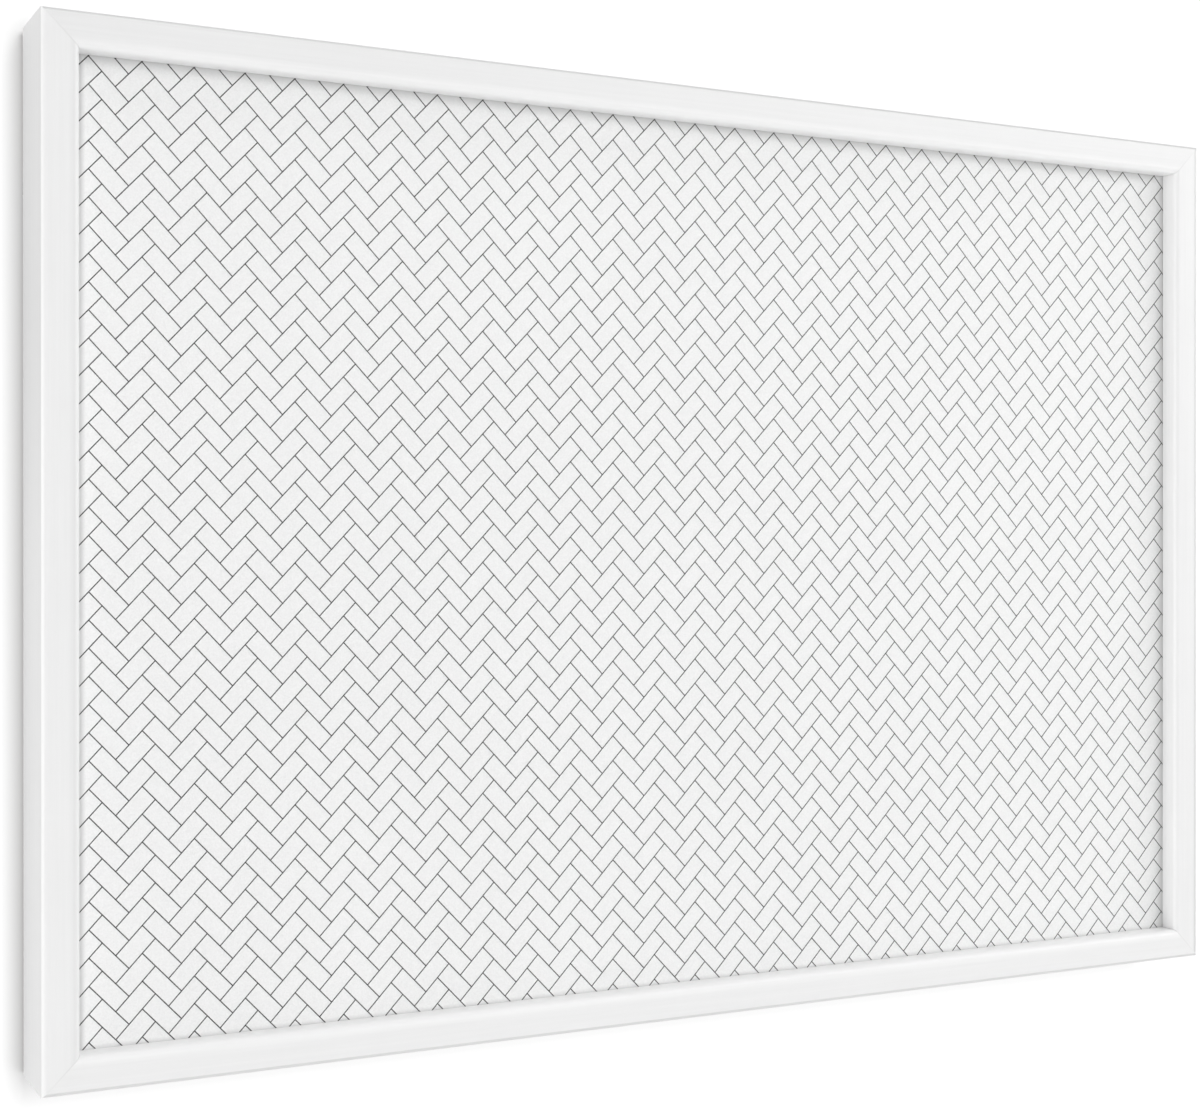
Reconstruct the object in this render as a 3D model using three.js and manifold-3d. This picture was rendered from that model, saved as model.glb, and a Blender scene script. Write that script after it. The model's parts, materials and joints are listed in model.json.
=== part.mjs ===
// Framed magnetic board: a deep mitred frame round a printed steel panel, hung on a wall by two D-rings.
// Millimetres. The front faces -Y, +X is to the right seen from the front, and +Z is up.
// The origin is the centre of the overall box, which runs from the front of the rails to the wall.
import * as THREE from 'three';
import { mergeVertices } from 'three/addons/utils/BufferGeometryUtils.js';
import Module from 'manifold-3d';

const wasm = await Module();
wasm.setup();

// Overall size of the frame
const boardWidth = 700;
const boardHeight = 500;

// Rail moulding: an L section, with a lip at the front that the panel lies behind
const railFace = 17.5;
const railDepth = 45;
const lipOverlap = 5;
const panelRecess = 12;
const frontEdgeRadius = 2.5;
const lipEdgeRadius = 3;
const backEdgeChamfer = 0.6;
const edgeSegments = 3;
const mitreGap = 0.3;

// Panel and what backs it, from the front to the back
const packClearance = 1;
const filmThickness = 0.2;
const sheetThickness = 0.8;
const coreThickness = 6;
const spacerWidth = 15;
const backBoardThickness = 3;

// V-nails, driven into the back of each mitre
const nailInset = 3.8;
const nailLeg = 4.5;
const nailSheet = 0.6;
const nailHeight = 10;
const nailSink = 0.3;

// Screws, one pattern for the whole back
const screwShank = 2.4;
const screwLength = 14;
const screwTip = 3.5;
const screwHead = 5.2;
const screwHeadHeight = 1.5;
const recessLength = 3;
const recessWidth = 0.7;
const recessDepth = 0.9;
const screwSides = 16;
const headShares = [[1, 0], [1, 0.4], [0.92, 0.7], [0.7, 0.93], [0.45, 1]];

// Turn buttons
const buttonWidth = 8;
const buttonTipWidth = 5.6;
const buttonReach = 18;
const buttonSheet = 1;
const buttonBendRun = 4;
const buttonLift = 0.7;
const buttonSpacingLong = 400;
const buttonSpacingShort = 160;
const buttonSegments = 6;

// Hangers: a strap folded round the bar of a D-ring
const hangerDrop = 80;
const strapSheet = 0.8;
const strapWidth = 7;
const strapLength = 26;
const strapScrewDrops = [5.8, 19.5];
const strapSegments = 8;
const ringWire = 2;
const ringWidth = 12.6;
const ringArm = 11;
const ringCornerRadius = 1.5;
const ringEndGap = 0.5;
const ringEdgeMargin = 0.2;
const ringWireSides = 8;
const ringCornerSteps = 3;
const ringBowSteps = 12;

// Wall bumpers
const bumperDiameter = 10;
const bumperHeight = 5;
const bumperEdgeRound = 0.8;
const bumperInset = 25;
const bumperSides = 20;

// Gaps: between flat layers, and round what turns or sits in a cut
const layerGap = 0.05;
const fitGap = 0.3;
const barGap = 0.36;
const cutOverrun = 1;

// Sizes worked out from those above
const landWidth = railFace - lipOverlap;
const packWidth = boardWidth - 2 * (landWidth + packClearance);
const packHeight = boardHeight - 2 * (landWidth + packClearance);
const frontY = -(railDepth + bumperHeight) / 2;
const knuckleInner = ringWire / 2 + barGap;
const knuckleOuter = knuckleInner + strapSheet;
const strapLeaf = 2 * strapSheet;
const hangerInset = ringWidth / 2 + ringEdgeMargin;
const hangerHeight = boardHeight / 2 - hangerDrop;
const ringLean = Math.asin((knuckleOuter - ringWire / 2 - fitGap) / ringArm);

// Finishes
const whitePaint = { color: 0xf0f0f0, roughness: 0.42, metalness: 0 };
const whitePrint = { color: 0xf4f4f3, roughness: 0.55, metalness: 0 };
const zincSheet = { color: 0xb4b8bb, roughness: 0.38, metalness: 1 };
const zincPlate = { color: 0xc3c5c4, roughness: 0.3, metalness: 1 };
const brightSteel = { color: 0xa9abac, roughness: 0.34, metalness: 1 };
const fibreboard = { color: 0xb48f63, roughness: 0.82, metalness: 0 };
const softwood = { color: 0xd9bb8c, roughness: 0.72, metalness: 0 };
const hardboard = { color: 0x8a6443, roughness: 0.6, metalness: 0 };
const softRubber = { color: 0xd0d2d2, roughness: 0.5, metalness: 0 };

// The four sides. Each is modelled lying along +X with its outer face down, then turned about Y by
// some quarters of a turn. reach is how far its outer face lies from the middle of the board, ends
// names what lies at its -X and +X ends, and up says which way along it the board's top is.
const quarterTurn = Math.PI / 2;
const sides = [
  { name: 'bottom', quarters: 0, reach: boardHeight / 2, span: boardWidth, ends: ['left', 'right'], up: 0 },
  { name: 'left', quarters: 1, reach: boardWidth / 2, span: boardHeight, ends: ['upper', 'lower'], up: -1 },
  { name: 'top', quarters: 2, reach: boardHeight / 2, span: boardWidth, ends: ['right', 'left'], up: 0 },
  { name: 'right', quarters: -1, reach: boardWidth / 2, span: boardHeight, ends: ['lower', 'upper'], up: 1 },
];

/** The Y of a place this far behind the front of the rails. */
function yAt(depth) {
  return frontY + depth;
}

/** Position-only geometry with shared vertices and no collapsed triangles. */
function closed(geometry) {
  const bare = geometry.clone();
  bare.deleteAttribute('normal');
  bare.deleteAttribute('uv');
  const merged = mergeVertices(bare);
  const corners = Array.from(merged.index.array);
  const kept = [];
  for (let i = 0; i < corners.length; i += 3) {
    const [a, b, c] = corners.slice(i, i + 3);
    if (a !== b && b !== c && c !== a) kept.push(a, b, c);
  }
  merged.setIndex(kept);
  return merged;
}

/** The solid that a closed geometry bounds. */
function solidOf(geometry) {
  const merged = closed(geometry);
  const mesh = new wasm.Mesh({
    numProp: 3,
    vertProperties: new Float32Array(merged.getAttribute('position').array),
    triVerts: new Uint32Array(merged.index.array),
  });
  return new wasm.Manifold(mesh);
}

/** The geometry of a solid's surface. */
function geometryOf(solid) {
  const { vertProperties, triVerts } = solid.getMesh();
  const geometry = new THREE.BufferGeometry();
  geometry.setAttribute('position', new THREE.BufferAttribute(vertProperties, 3));
  geometry.setIndex(new THREE.BufferAttribute(triVerts, 1));
  return geometry;
}

/** One solid with others taken out of it. */
function cut(geometry, cutters) {
  return geometryOf(cutters.reduce((left, cutter) => left.subtract(solidOf(cutter)), solidOf(geometry)));
}

/** A shape of X and Z, carried along Y from 0 to a thickness. */
function plate(shape, thickness, curveSegments) {
  const geometry = new THREE.ExtrudeGeometry(shape, { depth: thickness, bevelEnabled: false, curveSegments });
  return geometry.rotateX(Math.PI / 2).translate(0, thickness, 0);
}

/** A side view of Z and Y, carried across X and centred on it. */
function section(shape, width, curveSegments) {
  const geometry = new THREE.ExtrudeGeometry(shape, { depth: width, bevelEnabled: false, curveSegments });
  return geometry.rotateY(-Math.PI / 2).translate(width / 2, 0, 0);
}

/** A closed outline through [x, y] points. */
function outline(points) {
  return new THREE.Shape(points.map(([x, y]) => new THREE.Vector2(x, y)));
}

/** A round bar along Y, from a height down over a length. */
function rod(radius, top, length, roundSides) {
  return new THREE.CylinderGeometry(radius, radius, length, roundSides).translate(0, top - length / 2, 0);
}

/** A solid turned about Y from [radius, height] points that start and end on the axis. */
function turned(points, roundSides) {
  return new THREE.LatheGeometry(points.map(([r, y]) => new THREE.Vector2(r, y)), roundSides);
}

/** A named mesh with a material of its own. */
function piece(parent, name, geometry, finish) {
  const mesh = new THREE.Mesh(closed(geometry), new THREE.MeshStandardMaterial(finish));
  mesh.name = name;
  parent.add(mesh);
  return mesh;
}

/** The moulding's section: X is inward from the outer face, Y is back from the front. */
function railProfile() {
  const lipBack = panelRecess - layerGap;
  const shape = new THREE.Shape();
  shape.moveTo(0, frontEdgeRadius);
  shape.absarc(frontEdgeRadius, frontEdgeRadius, frontEdgeRadius, Math.PI, 1.5 * Math.PI, false);
  shape.absarc(railFace - lipEdgeRadius, lipEdgeRadius, lipEdgeRadius, 1.5 * Math.PI, 2 * Math.PI, false);
  shape.lineTo(railFace, lipBack);
  shape.lineTo(landWidth, lipBack);
  shape.lineTo(landWidth, railDepth);
  shape.lineTo(backEdgeChamfer, railDepth);
  shape.lineTo(0, railDepth - backEdgeChamfer);
  shape.closePath();
  return shape;
}

/** A moulding with both ends mitred: each point's half length shrinks by how far inward it lies. */
function mitredBar(side) {
  const unitLength = 1;
  const options = { depth: unitLength, bevelEnabled: false, curveSegments: edgeSegments };
  const geometry = new THREE.ExtrudeGeometry(railProfile(), options);
  const places = geometry.getAttribute('position');
  for (let i = 0; i < places.count; i += 1) {
    const inward = places.getX(i);
    const halfLength = side.span / 2 - inward - mitreGap / Math.SQRT2;
    const along = (unitLength - 2 * places.getZ(i)) * halfLength;
    places.setXYZ(i, along, yAt(places.getY(i)), inward - side.reach);
  }
  return geometry;
}

/** The outline of a V-nail at one end of a side, grown by a gap: two legs that meet on the mitre. */
function nailOutline(side, end, gap) {
  const low = nailInset - nailSheet / 2 - gap;
  const high = nailInset + nailSheet / 2 + gap;
  const tip = nailInset + nailLeg + gap;
  const corners = [[low, low], [tip, low], [tip, high], [high, high], [high, tip], [low, tip]];
  return outline(corners.map(([a, b]) => [end * (side.span / 2 - a), b - side.reach]));
}

/** A V-nail, or the slot that holds one when it is grown by a gap and runs out of the back. */
function nailBody(side, end, gap, overrun) {
  const height = nailHeight + gap + (overrun ? nailSink + overrun : 0);
  const front = yAt(railDepth - nailSink - nailHeight - gap);
  return plate(nailOutline(side, end, gap), height).translate(0, front, 0);
}

/** Where the turn buttons of a side pivot, along it. */
function buttonPlaces(side) {
  const spacing = side.up ? buttonSpacingShort : buttonSpacingLong;
  return [-spacing / 2, spacing / 2];
}

/** Where the screws of a side's hanger strap go, along it. */
function strapScrewPlaces(side) {
  return side.up ? strapScrewDrops.map((drop) => side.up * (hangerHeight - drop)) : [];
}

/** A screw's pilot hole in a side's back land. */
function pilotHole(side, along, inset) {
  const top = yAt(railDepth) + cutOverrun;
  const hole = rod(screwShank / 2 + fitGap, top, screwLength + cutOverrun, screwSides);
  return hole.translate(along, 0, inset - side.reach);
}

/** A mitred rail with its nail slots and pilot holes. */
function railGeometry(side) {
  const slots = [-1, 1].map((end) => nailBody(side, end, fitGap, cutOverrun));
  const buttonHoles = buttonPlaces(side).map((along) => pilotHole(side, along, landWidth / 2));
  const strapHoles = strapScrewPlaces(side).map((along) => pilotHole(side, along, hangerInset));
  return cut(mitredBar(side), [...slots, ...buttonHoles, ...strapHoles]);
}

/** A pan-head screw: the head stands on the XZ plane, the shank runs down -Y. */
function screwGeometry() {
  const shank = [[0, -screwLength], [screwShank / 2, screwTip - screwLength], [screwShank / 2, 0]];
  const head = headShares.map(([r, h]) => [r * screwHead / 2, h * screwHeadHeight]);
  const body = turned([...shank, ...head, [0, screwHeadHeight]], screwSides);
  const recess = [[recessLength, recessWidth], [recessWidth, recessLength]].map(([x, z]) =>
    new THREE.BoxGeometry(x, 2 * recessDepth, z).translate(0, screwHeadHeight, 0));
  return cut(body, recess);
}

/** A turn button: the pivot hole is at the origin, the tip lies along +Z and bends up off the board. */
function buttonGeometry() {
  const end = buttonWidth / 2;
  const tipRadius = buttonTipWidth / 2;
  const plan = new THREE.Shape();
  plan.absarc(0, 0, end, Math.PI, 2 * Math.PI, false);
  plan.absarc(0, buttonReach - tipRadius, tipRadius, 0, Math.PI, false);
  plan.closePath();
  plan.holes.push(new THREE.Path().absarc(0, 0, screwShank / 2 + fitGap, 0, 2 * Math.PI, false));
  const bendAt = buttonReach - buttonBendRun;
  const rise = buttonLift * (1 + cutOverrun / buttonBendRun);
  const far = buttonReach + cutOverrun;
  const near = -end - cutOverrun;
  const under = [[near, 0], [bendAt, 0], [far, rise]];
  const over = [[far, rise + buttonSheet], [bendAt, buttonSheet], [near, buttonSheet]];
  const bent = outline([...under, ...over]);
  const blank = solidOf(plate(plan, buttonLift + buttonSheet, buttonSegments));
  return geometryOf(blank.intersect(solidOf(section(bent, buttonWidth + 2 * cutOverrun))));
}

/** A hanger strap: the land is the XZ plane, and the bar lies along X above the origin. */
function strapGeometry() {
  const fold = new THREE.Shape();
  const leafAngle = Math.PI + Math.asin((knuckleOuter - strapLeaf) / knuckleOuter);
  fold.moveTo(-strapLength, 0);
  fold.absarc(0, knuckleOuter, knuckleOuter, -Math.PI / 2, leafAngle, false);
  fold.lineTo(-strapLength, strapLeaf);
  fold.closePath();
  fold.holes.push(new THREE.Path().absarc(0, knuckleOuter, knuckleInner, 0, 2 * Math.PI, false));
  const plan = new THREE.Shape();
  const half = strapWidth / 2;
  plan.absarc(0, half - strapLength, half, Math.PI, 2 * Math.PI, false);
  plan.lineTo(half, 2 * knuckleOuter);
  plan.lineTo(-half, 2 * knuckleOuter);
  plan.closePath();
  const blank = solidOf(section(fold, strapWidth + 2 * cutOverrun, strapSegments));
  const trimmed = blank.intersect(solidOf(plate(plan, 2 * knuckleOuter, strapSegments)));
  const holes = strapScrewDrops.map((drop) => {
    const hole = rod(screwShank / 2 + fitGap, strapLeaf + cutOverrun, strapLeaf + 2 * cutOverrun, screwSides);
    return hole.translate(0, 0, -drop);
  });
  return cut(geometryOf(trimmed), holes);
}

/** Points on an arc of the XZ plane, from one angle to another, both ends included. */
function arcPoints(x, z, radius, from, to, steps) {
  return Array.from({ length: steps + 1 }, (_, i) => {
    const angle = from + (to - from) * i / steps;
    return new THREE.Vector2(x + radius * Math.cos(angle), z + radius * Math.sin(angle));
  });
}

/** The middle line of a D-ring's wire. Its ends meet in the straight bar, where the strap hides them. */
function ringRoute() {
  const half = (ringWidth - ringWire) / 2;
  const bend = ringCornerRadius;
  const corner = half - bend;
  return [
    new THREE.Vector2(ringEndGap / 2, 0),
    ...arcPoints(corner, bend, bend, -quarterTurn, 0, ringCornerSteps),
    ...arcPoints(0, ringArm - half, half, 0, Math.PI, ringBowSteps),
    ...arcPoints(-corner, bend, bend, Math.PI, Math.PI + quarterTurn, ringCornerSteps),
    new THREE.Vector2(-ringEndGap / 2, 0),
  ];
}

/** A round wire along a flat route of the XZ plane, with both ends closed. */
function wireGeometry(route, radius, wireSides) {
  const corners = [];
  route.forEach((point, i) => {
    const before = route[Math.max(i - 1, 0)];
    const after = route[Math.min(i + 1, route.length - 1)];
    const outward = new THREE.Vector2(after.y - before.y, before.x - after.x).normalize();
    for (let k = 0; k < wireSides; k += 1) {
      const angle = 2 * Math.PI * k / wireSides;
      const out = radius * Math.cos(angle);
      corners.push(point.x + outward.x * out, radius * Math.sin(angle), point.y + outward.y * out);
    }
  });
  const faces = [];
  for (let i = 0; i + 1 < route.length; i += 1) {
    for (let k = 0; k < wireSides; k += 1) {
      const next = (k + 1) % wireSides;
      const [a, b] = [i * wireSides + k, i * wireSides + next];
      const [c, d] = [a + wireSides, b + wireSides];
      faces.push(a, b, c, b, d, c);
    }
  }
  const last = (route.length - 1) * wireSides;
  for (let k = 1; k + 1 < wireSides; k += 1) {
    faces.push(0, k + 1, k, last, last + k, last + k + 1);
  }
  const geometry = new THREE.BufferGeometry();
  geometry.setAttribute('position', new THREE.Float32BufferAttribute(corners, 3));
  geometry.setIndex(faces);
  return geometry;
}

/** A wall bumper: a flat disc on the XZ plane, its outer edge eased. */
function bumperGeometry() {
  const radius = bumperDiameter / 2;
  const eased = bumperHeight - bumperEdgeRound;
  const shoulder = Math.SQRT1_2 * bumperEdgeRound;
  const rim = radius - bumperEdgeRound;
  const easedEdge = [[radius, eased], [rim + shoulder, eased + shoulder], [rim, bumperHeight]];
  return turned([[0, 0], [radius, 0], ...easedEdge, [0, bumperHeight]], bumperSides);
}

/** A batten in a side's rebate. The long sides' battens run from end to end, the others fit between. */
function spacerGeometry(side, depth) {
  const inset = landWidth + layerGap;
  const endInset = side.up ? inset + spacerWidth + layerGap : inset;
  const back = railDepth - backBoardThickness - layerGap;
  const box = new THREE.BoxGeometry(side.span - 2 * endInset, back - depth, spacerWidth);
  return box.translate(0, yAt((depth + back) / 2), inset + spacerWidth / 2 - side.reach);
}

/** A board of the panel pack, with its front face this far behind the front of the rails. */
function packBoard(depth, thickness) {
  return new THREE.BoxGeometry(packWidth, thickness, packHeight).translate(0, yAt(depth + thickness / 2), 0);
}

/** The panel pack in front of the spacers. Returns how deep it reaches. */
function addPanel(parent) {
  const layers = [
    ['printed_film', filmThickness, whitePrint],
    ['steel_sheet', sheetThickness, zincSheet],
    ['core_board', coreThickness, fibreboard],
  ];
  return layers.reduce((depth, [name, thickness, finish]) => {
    piece(parent, name, packBoard(depth, thickness), finish);
    return depth + thickness + layerGap;
  }, panelRecess);
}

/** The turn buttons of a side and their screws. */
function addButtons(parent, side, button, screw) {
  const seat = yAt(railDepth) + fitGap;
  const inward = landWidth / 2 - side.reach;
  buttonPlaces(side).forEach((along, i) => {
    const label = `${side.name}_${side.ends[i]}`;
    piece(parent, `turn_button_${label}`, button, zincPlate).position.set(along, seat, inward);
    const head = seat + buttonSheet + fitGap;
    piece(parent, `button_screw_${label}`, screw, brightSteel).position.set(along, head, inward);
  });
}

/** A D-ring hanger on an upright side, turned back so that its ring points to the board's top. */
function addHanger(parent, side, screw) {
  const hanger = new THREE.Group();
  hanger.position.set(side.up * hangerHeight, yAt(railDepth), hangerInset - side.reach);
  hanger.rotation.y = -side.quarters * quarterTurn;
  parent.add(hanger);
  piece(hanger, `hanger_strap_${side.name}`, strapGeometry(), zincPlate);
  const wire = wireGeometry(ringRoute(), ringWire / 2, ringWireSides);
  const ring = piece(hanger, `d_ring_${side.name}`, wire, brightSteel);
  ring.position.y = knuckleOuter;
  ring.rotation.x = ringLean;
  ['upper', 'lower'].forEach((label, i) => {
    const fixing = piece(hanger, `strap_screw_${side.name}_${label}`, screw, brightSteel);
    fixing.position.set(0, strapLeaf + layerGap, -strapScrewDrops[i]);
  });
}

/** The V-nail and the wall bumper at each end of a long side. */
function addCornerPieces(parent, side, bumper) {
  [-1, 1].forEach((end, i) => {
    const corner = `${side.name}_${side.ends[i]}`;
    piece(parent, `v_nail_${corner}`, nailBody(side, end, 0, 0), brightSteel);
    const pad = piece(parent, `wall_bumper_${corner}`, bumper, softRubber);
    pad.position.set(end * (side.span / 2 - bumperInset), yAt(railDepth), landWidth / 2 - side.reach);
  });
}

/** One side of the frame with all that is fastened to it. */
function addSide(parent, side, packDepth, shared) {
  const group = new THREE.Group();
  group.rotation.y = side.quarters * quarterTurn;
  parent.add(group);
  piece(group, `rail_${side.name}`, railGeometry(side), whitePaint);
  piece(group, `spacer_${side.name}`, spacerGeometry(side, packDepth), softwood);
  addButtons(group, side, shared.button, shared.screw);
  if (side.up) {
    addHanger(group, side, shared.screw);
  } else {
    addCornerPieces(group, side, shared.bumper);
  }
}

/** The whole board. */
function framedMagneticBoard() {
  const board = new THREE.Group();
  board.name = 'framed_magnetic_board';
  const shared = { button: buttonGeometry(), screw: screwGeometry(), bumper: bumperGeometry() };
  const packDepth = addPanel(board);
  piece(board, 'back_board', packBoard(railDepth - backBoardThickness, backBoardThickness), hardboard);
  sides.forEach((side) => addSide(board, side, packDepth, shared));
  return board;
}

export default framedMagneticBoard();
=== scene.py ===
"""Dresses the framed magnetic board: its mouldings, printed panel, back, fittings and a plain studio.

Everything is in metres. The front faces -Y, +X is to the right seen from the front, and +Z is up.
"""
import json
import logging
import math
from dataclasses import dataclass, field
from enum import Enum
from typing import NamedTuple

import bpy
import numpy as np
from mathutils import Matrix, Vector

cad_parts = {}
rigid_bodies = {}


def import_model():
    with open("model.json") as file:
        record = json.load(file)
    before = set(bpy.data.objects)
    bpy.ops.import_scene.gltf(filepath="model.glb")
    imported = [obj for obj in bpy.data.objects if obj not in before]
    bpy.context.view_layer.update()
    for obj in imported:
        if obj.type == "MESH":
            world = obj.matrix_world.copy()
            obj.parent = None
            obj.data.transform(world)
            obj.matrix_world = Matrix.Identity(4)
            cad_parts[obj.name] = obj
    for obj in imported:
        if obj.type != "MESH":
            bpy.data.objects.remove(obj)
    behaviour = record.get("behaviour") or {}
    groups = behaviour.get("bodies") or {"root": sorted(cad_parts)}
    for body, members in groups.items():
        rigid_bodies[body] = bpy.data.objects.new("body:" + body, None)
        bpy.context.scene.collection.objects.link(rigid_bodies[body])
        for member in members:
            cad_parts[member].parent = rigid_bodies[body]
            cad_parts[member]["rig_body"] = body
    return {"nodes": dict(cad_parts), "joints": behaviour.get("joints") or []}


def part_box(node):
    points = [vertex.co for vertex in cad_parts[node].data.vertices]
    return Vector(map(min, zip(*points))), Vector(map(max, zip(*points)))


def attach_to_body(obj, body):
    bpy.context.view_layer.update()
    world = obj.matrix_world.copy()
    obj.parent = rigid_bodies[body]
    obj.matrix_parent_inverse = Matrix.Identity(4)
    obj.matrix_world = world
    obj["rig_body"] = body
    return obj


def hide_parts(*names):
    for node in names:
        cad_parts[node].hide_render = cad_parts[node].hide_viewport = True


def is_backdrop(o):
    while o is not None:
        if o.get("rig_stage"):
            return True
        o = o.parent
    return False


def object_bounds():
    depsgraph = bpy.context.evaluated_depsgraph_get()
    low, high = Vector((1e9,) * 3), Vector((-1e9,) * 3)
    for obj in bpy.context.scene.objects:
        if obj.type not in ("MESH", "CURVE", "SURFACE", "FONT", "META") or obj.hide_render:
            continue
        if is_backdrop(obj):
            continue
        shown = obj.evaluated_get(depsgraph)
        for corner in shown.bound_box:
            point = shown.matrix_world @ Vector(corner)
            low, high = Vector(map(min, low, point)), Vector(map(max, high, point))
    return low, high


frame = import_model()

MM = 0.001
LOG = logging.getLogger("framed_magnetic_board")

Material = bpy.types.Material
Piece = bpy.types.Object
Socket = bpy.types.NodeSocket
Value = Socket | float
Colour = tuple[float, float, float]


class Side(Enum):
    """The four sides of the frame, each with the quarter turns about Y that bring it up from the bottom."""

    BOTTOM = 0
    LEFT = 1
    TOP = 2
    RIGHT = 3

    @property
    def label(self) -> str:
        """The side's name in the names of pieces."""
        return self.name.lower()

    @property
    def upright(self) -> bool:
        """Whether the side runs up and down."""
        return self in (Side.LEFT, Side.RIGHT)

    @property
    def grain(self) -> "Grain":
        """The way that the side's wood and paint run."""
        return Grain.ALONG_Z if self.upright else Grain.ALONG_X

    def placed(self, local: np.ndarray) -> np.ndarray:
        """Turns points of this side about Y, as a whole array.

        Args:
            local: Rows of along, Y and outward-down, as on the bottom side.

        Returns:
            Rows of X, Y and Z.
        """
        turn = self.value * math.pi / 2
        cosine, sine = round(math.cos(turn)), round(math.sin(turn))
        along, depth, height = local[:, 0], local[:, 1], local[:, 2]
        return np.column_stack((along * cosine + height * sine, depth, height * cosine - along * sine))


class Grain(Enum):
    """The way that brush marks or wood grain run, with how much each axis is drawn out."""

    ALONG_X = (0.02, 1.0, 1.0)
    ALONG_Z = (1.0, 1.0, 0.02)
    NONE = (1.0, 1.0, 1.0)


class Ray(Enum):
    """The kinds of light path that the studio answers separately."""

    CAMERA = "Is Camera Ray"
    GLOSSY = "Is Glossy Ray"
    TRANSMISSION = "Is Transmission Ray"
    DIFFUSE = "Is Diffuse Ray"


class Reach(Enum):
    """What a lamp lights: whether the named objects are its only ones or are left out, and their names."""

    WALL = ("INCLUDE", ("studio_wall",))
    BOARD = ("EXCLUDE", ("studio_wall",))
    RAILS = ("EXCLUDE", ("studio_wall", "printed_film", "herringbone_lines"))
    FILM = ("INCLUDE", ("printed_film", "herringbone_lines"))


def linear(level: float) -> float:
    """The linear value of an 8-bit screen level."""
    share = level / 255
    return share / 12.92 if share <= 0.04045 else ((share + 0.055) / 1.055) ** 2.4


def shade(*levels: float) -> tuple[float, float, float, float]:
    """A linear RGBA colour from one grey level or three 8-bit screen levels."""
    red, green, blue = levels if len(levels) == 3 else levels * 3
    return (linear(red), linear(green), linear(blue), 1.0)


def middle(node: str, depth: float) -> np.ndarray:
    """The middle of a node's box seen from behind, at a given Y."""
    low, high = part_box(node)
    return np.array([(low.x + high.x) / 2, depth, (low.z + high.z) / 2])


def nodes_named(*starts: str) -> list[str]:
    """The nodes whose names start in one of these ways, in order."""
    return sorted(name for name in frame["nodes"] if name.startswith(starts))


def joint_place(name: str) -> np.ndarray:
    """Where a joint's axis lies."""
    return np.array(next(joint["pos_m"] for joint in frame["joints"] if joint["name"] == name))


@dataclass
class Shell:
    """A surface held as arrays.

    Attributes:
        points: Rows of X, Y and Z.
        faces: Rows of point numbers, four to a row.
        caps: Flat faces with more corners, as arrays of point numbers.
        finish: The finish number of each face, or one number for all of them.
    """

    points: np.ndarray
    faces: np.ndarray
    caps: list[np.ndarray] = field(default_factory=list)
    finish: np.ndarray | int = 0

    def outward(self) -> "Shell":
        """Turns the faces of a closed form round where they point inwards.

        The signed volume is the sum, over triangles fanned from each face's first corner, of one corner's
        dot product with the cross product of the other two.

        Returns:
            The same form, with its faces outwards.
        """
        fans = [self.faces[:, [0, 1, 2]], self.faces[:, [0, 2, 3]]]
        fans += [np.column_stack((np.full(len(cap) - 2, cap[0]), cap[1:-1], cap[2:])) for cap in self.caps]
        first, second, third = (self.points[np.vstack(fans)[:, corner]] for corner in range(3))
        if np.einsum("ij,ij->", first, np.cross(second, third)) > 0:
            return self
        return Shell(self.points, self.faces[:, ::-1], [cap[::-1] for cap in self.caps], self.finish)

    def piece(self, name: str, materials: list[Material], sharp: float = 32.0) -> Piece:
        """Puts the arrays into a mesh object.

        Args:
            name: The piece's name.
            materials: Its finishes, in the order of the finish numbers.
            sharp: The angle between two faces, in degrees, past which their edge stays sharp.

        Returns:
            The new object, at the origin.
        """
        mesh = bpy.data.meshes.new(name)
        faces = [*self.faces.tolist(), *(cap.tolist() for cap in self.caps)]
        mesh.from_pydata(self.points.tolist(), [], faces)
        for material in materials:
            mesh.materials.append(material)
        finish = np.zeros(len(faces), np.int32)
        finish[: len(self.faces)] = self.finish
        mesh.polygons.foreach_set("material_index", finish)
        mesh.polygons.foreach_set("use_smooth", np.ones(len(faces), bool))
        mesh.update(calc_edges=True)
        mesh.set_sharp_from_angle(angle=math.radians(sharp))
        piece = bpy.data.objects.new(name, mesh)
        bpy.context.scene.collection.objects.link(piece)
        return piece


def grid_faces(rows: int, columns: int, loop_rows: bool = False, loop_columns: bool = False) -> np.ndarray:
    """Four-cornered faces between the points of a grid that is stored row by row.

    Args:
        rows: How many rows of points there are.
        columns: How many points a row has.
        loop_rows: Whether the last row joins the first.
        loop_columns: Whether each row's last point joins its first.

    Returns:
        Rows of four point numbers.
    """
    row = np.arange(rows if loop_rows else rows - 1)[:, None]
    column = np.arange(columns if loop_columns else columns - 1)[None, :]
    next_row, next_column = (row + 1) % rows, (column + 1) % columns
    corners = (row * columns + column, row * columns + next_column)
    corners += (next_row * columns + next_column, next_row * columns + column)
    return np.stack(corners, axis=-1).reshape(-1, 4)


def arc(centre: tuple[float, float], radius: float, start: float, stop: float, steps: int) -> np.ndarray:
    """Points on an arc: the centre plus the radius times (cosine, sine) of an angle that grows evenly.

    Args:
        centre: The arc's centre in its plane.
        radius: Its radius.
        start: The first angle, in degrees.
        stop: The last angle, in degrees.
        steps: How many steps lie between them.

    Returns:
        Rows of two coordinates.
    """
    angle = np.radians(np.linspace(start, stop, steps + 1))
    return np.asarray(centre) + radius * np.column_stack((np.cos(angle), np.sin(angle)))


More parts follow.
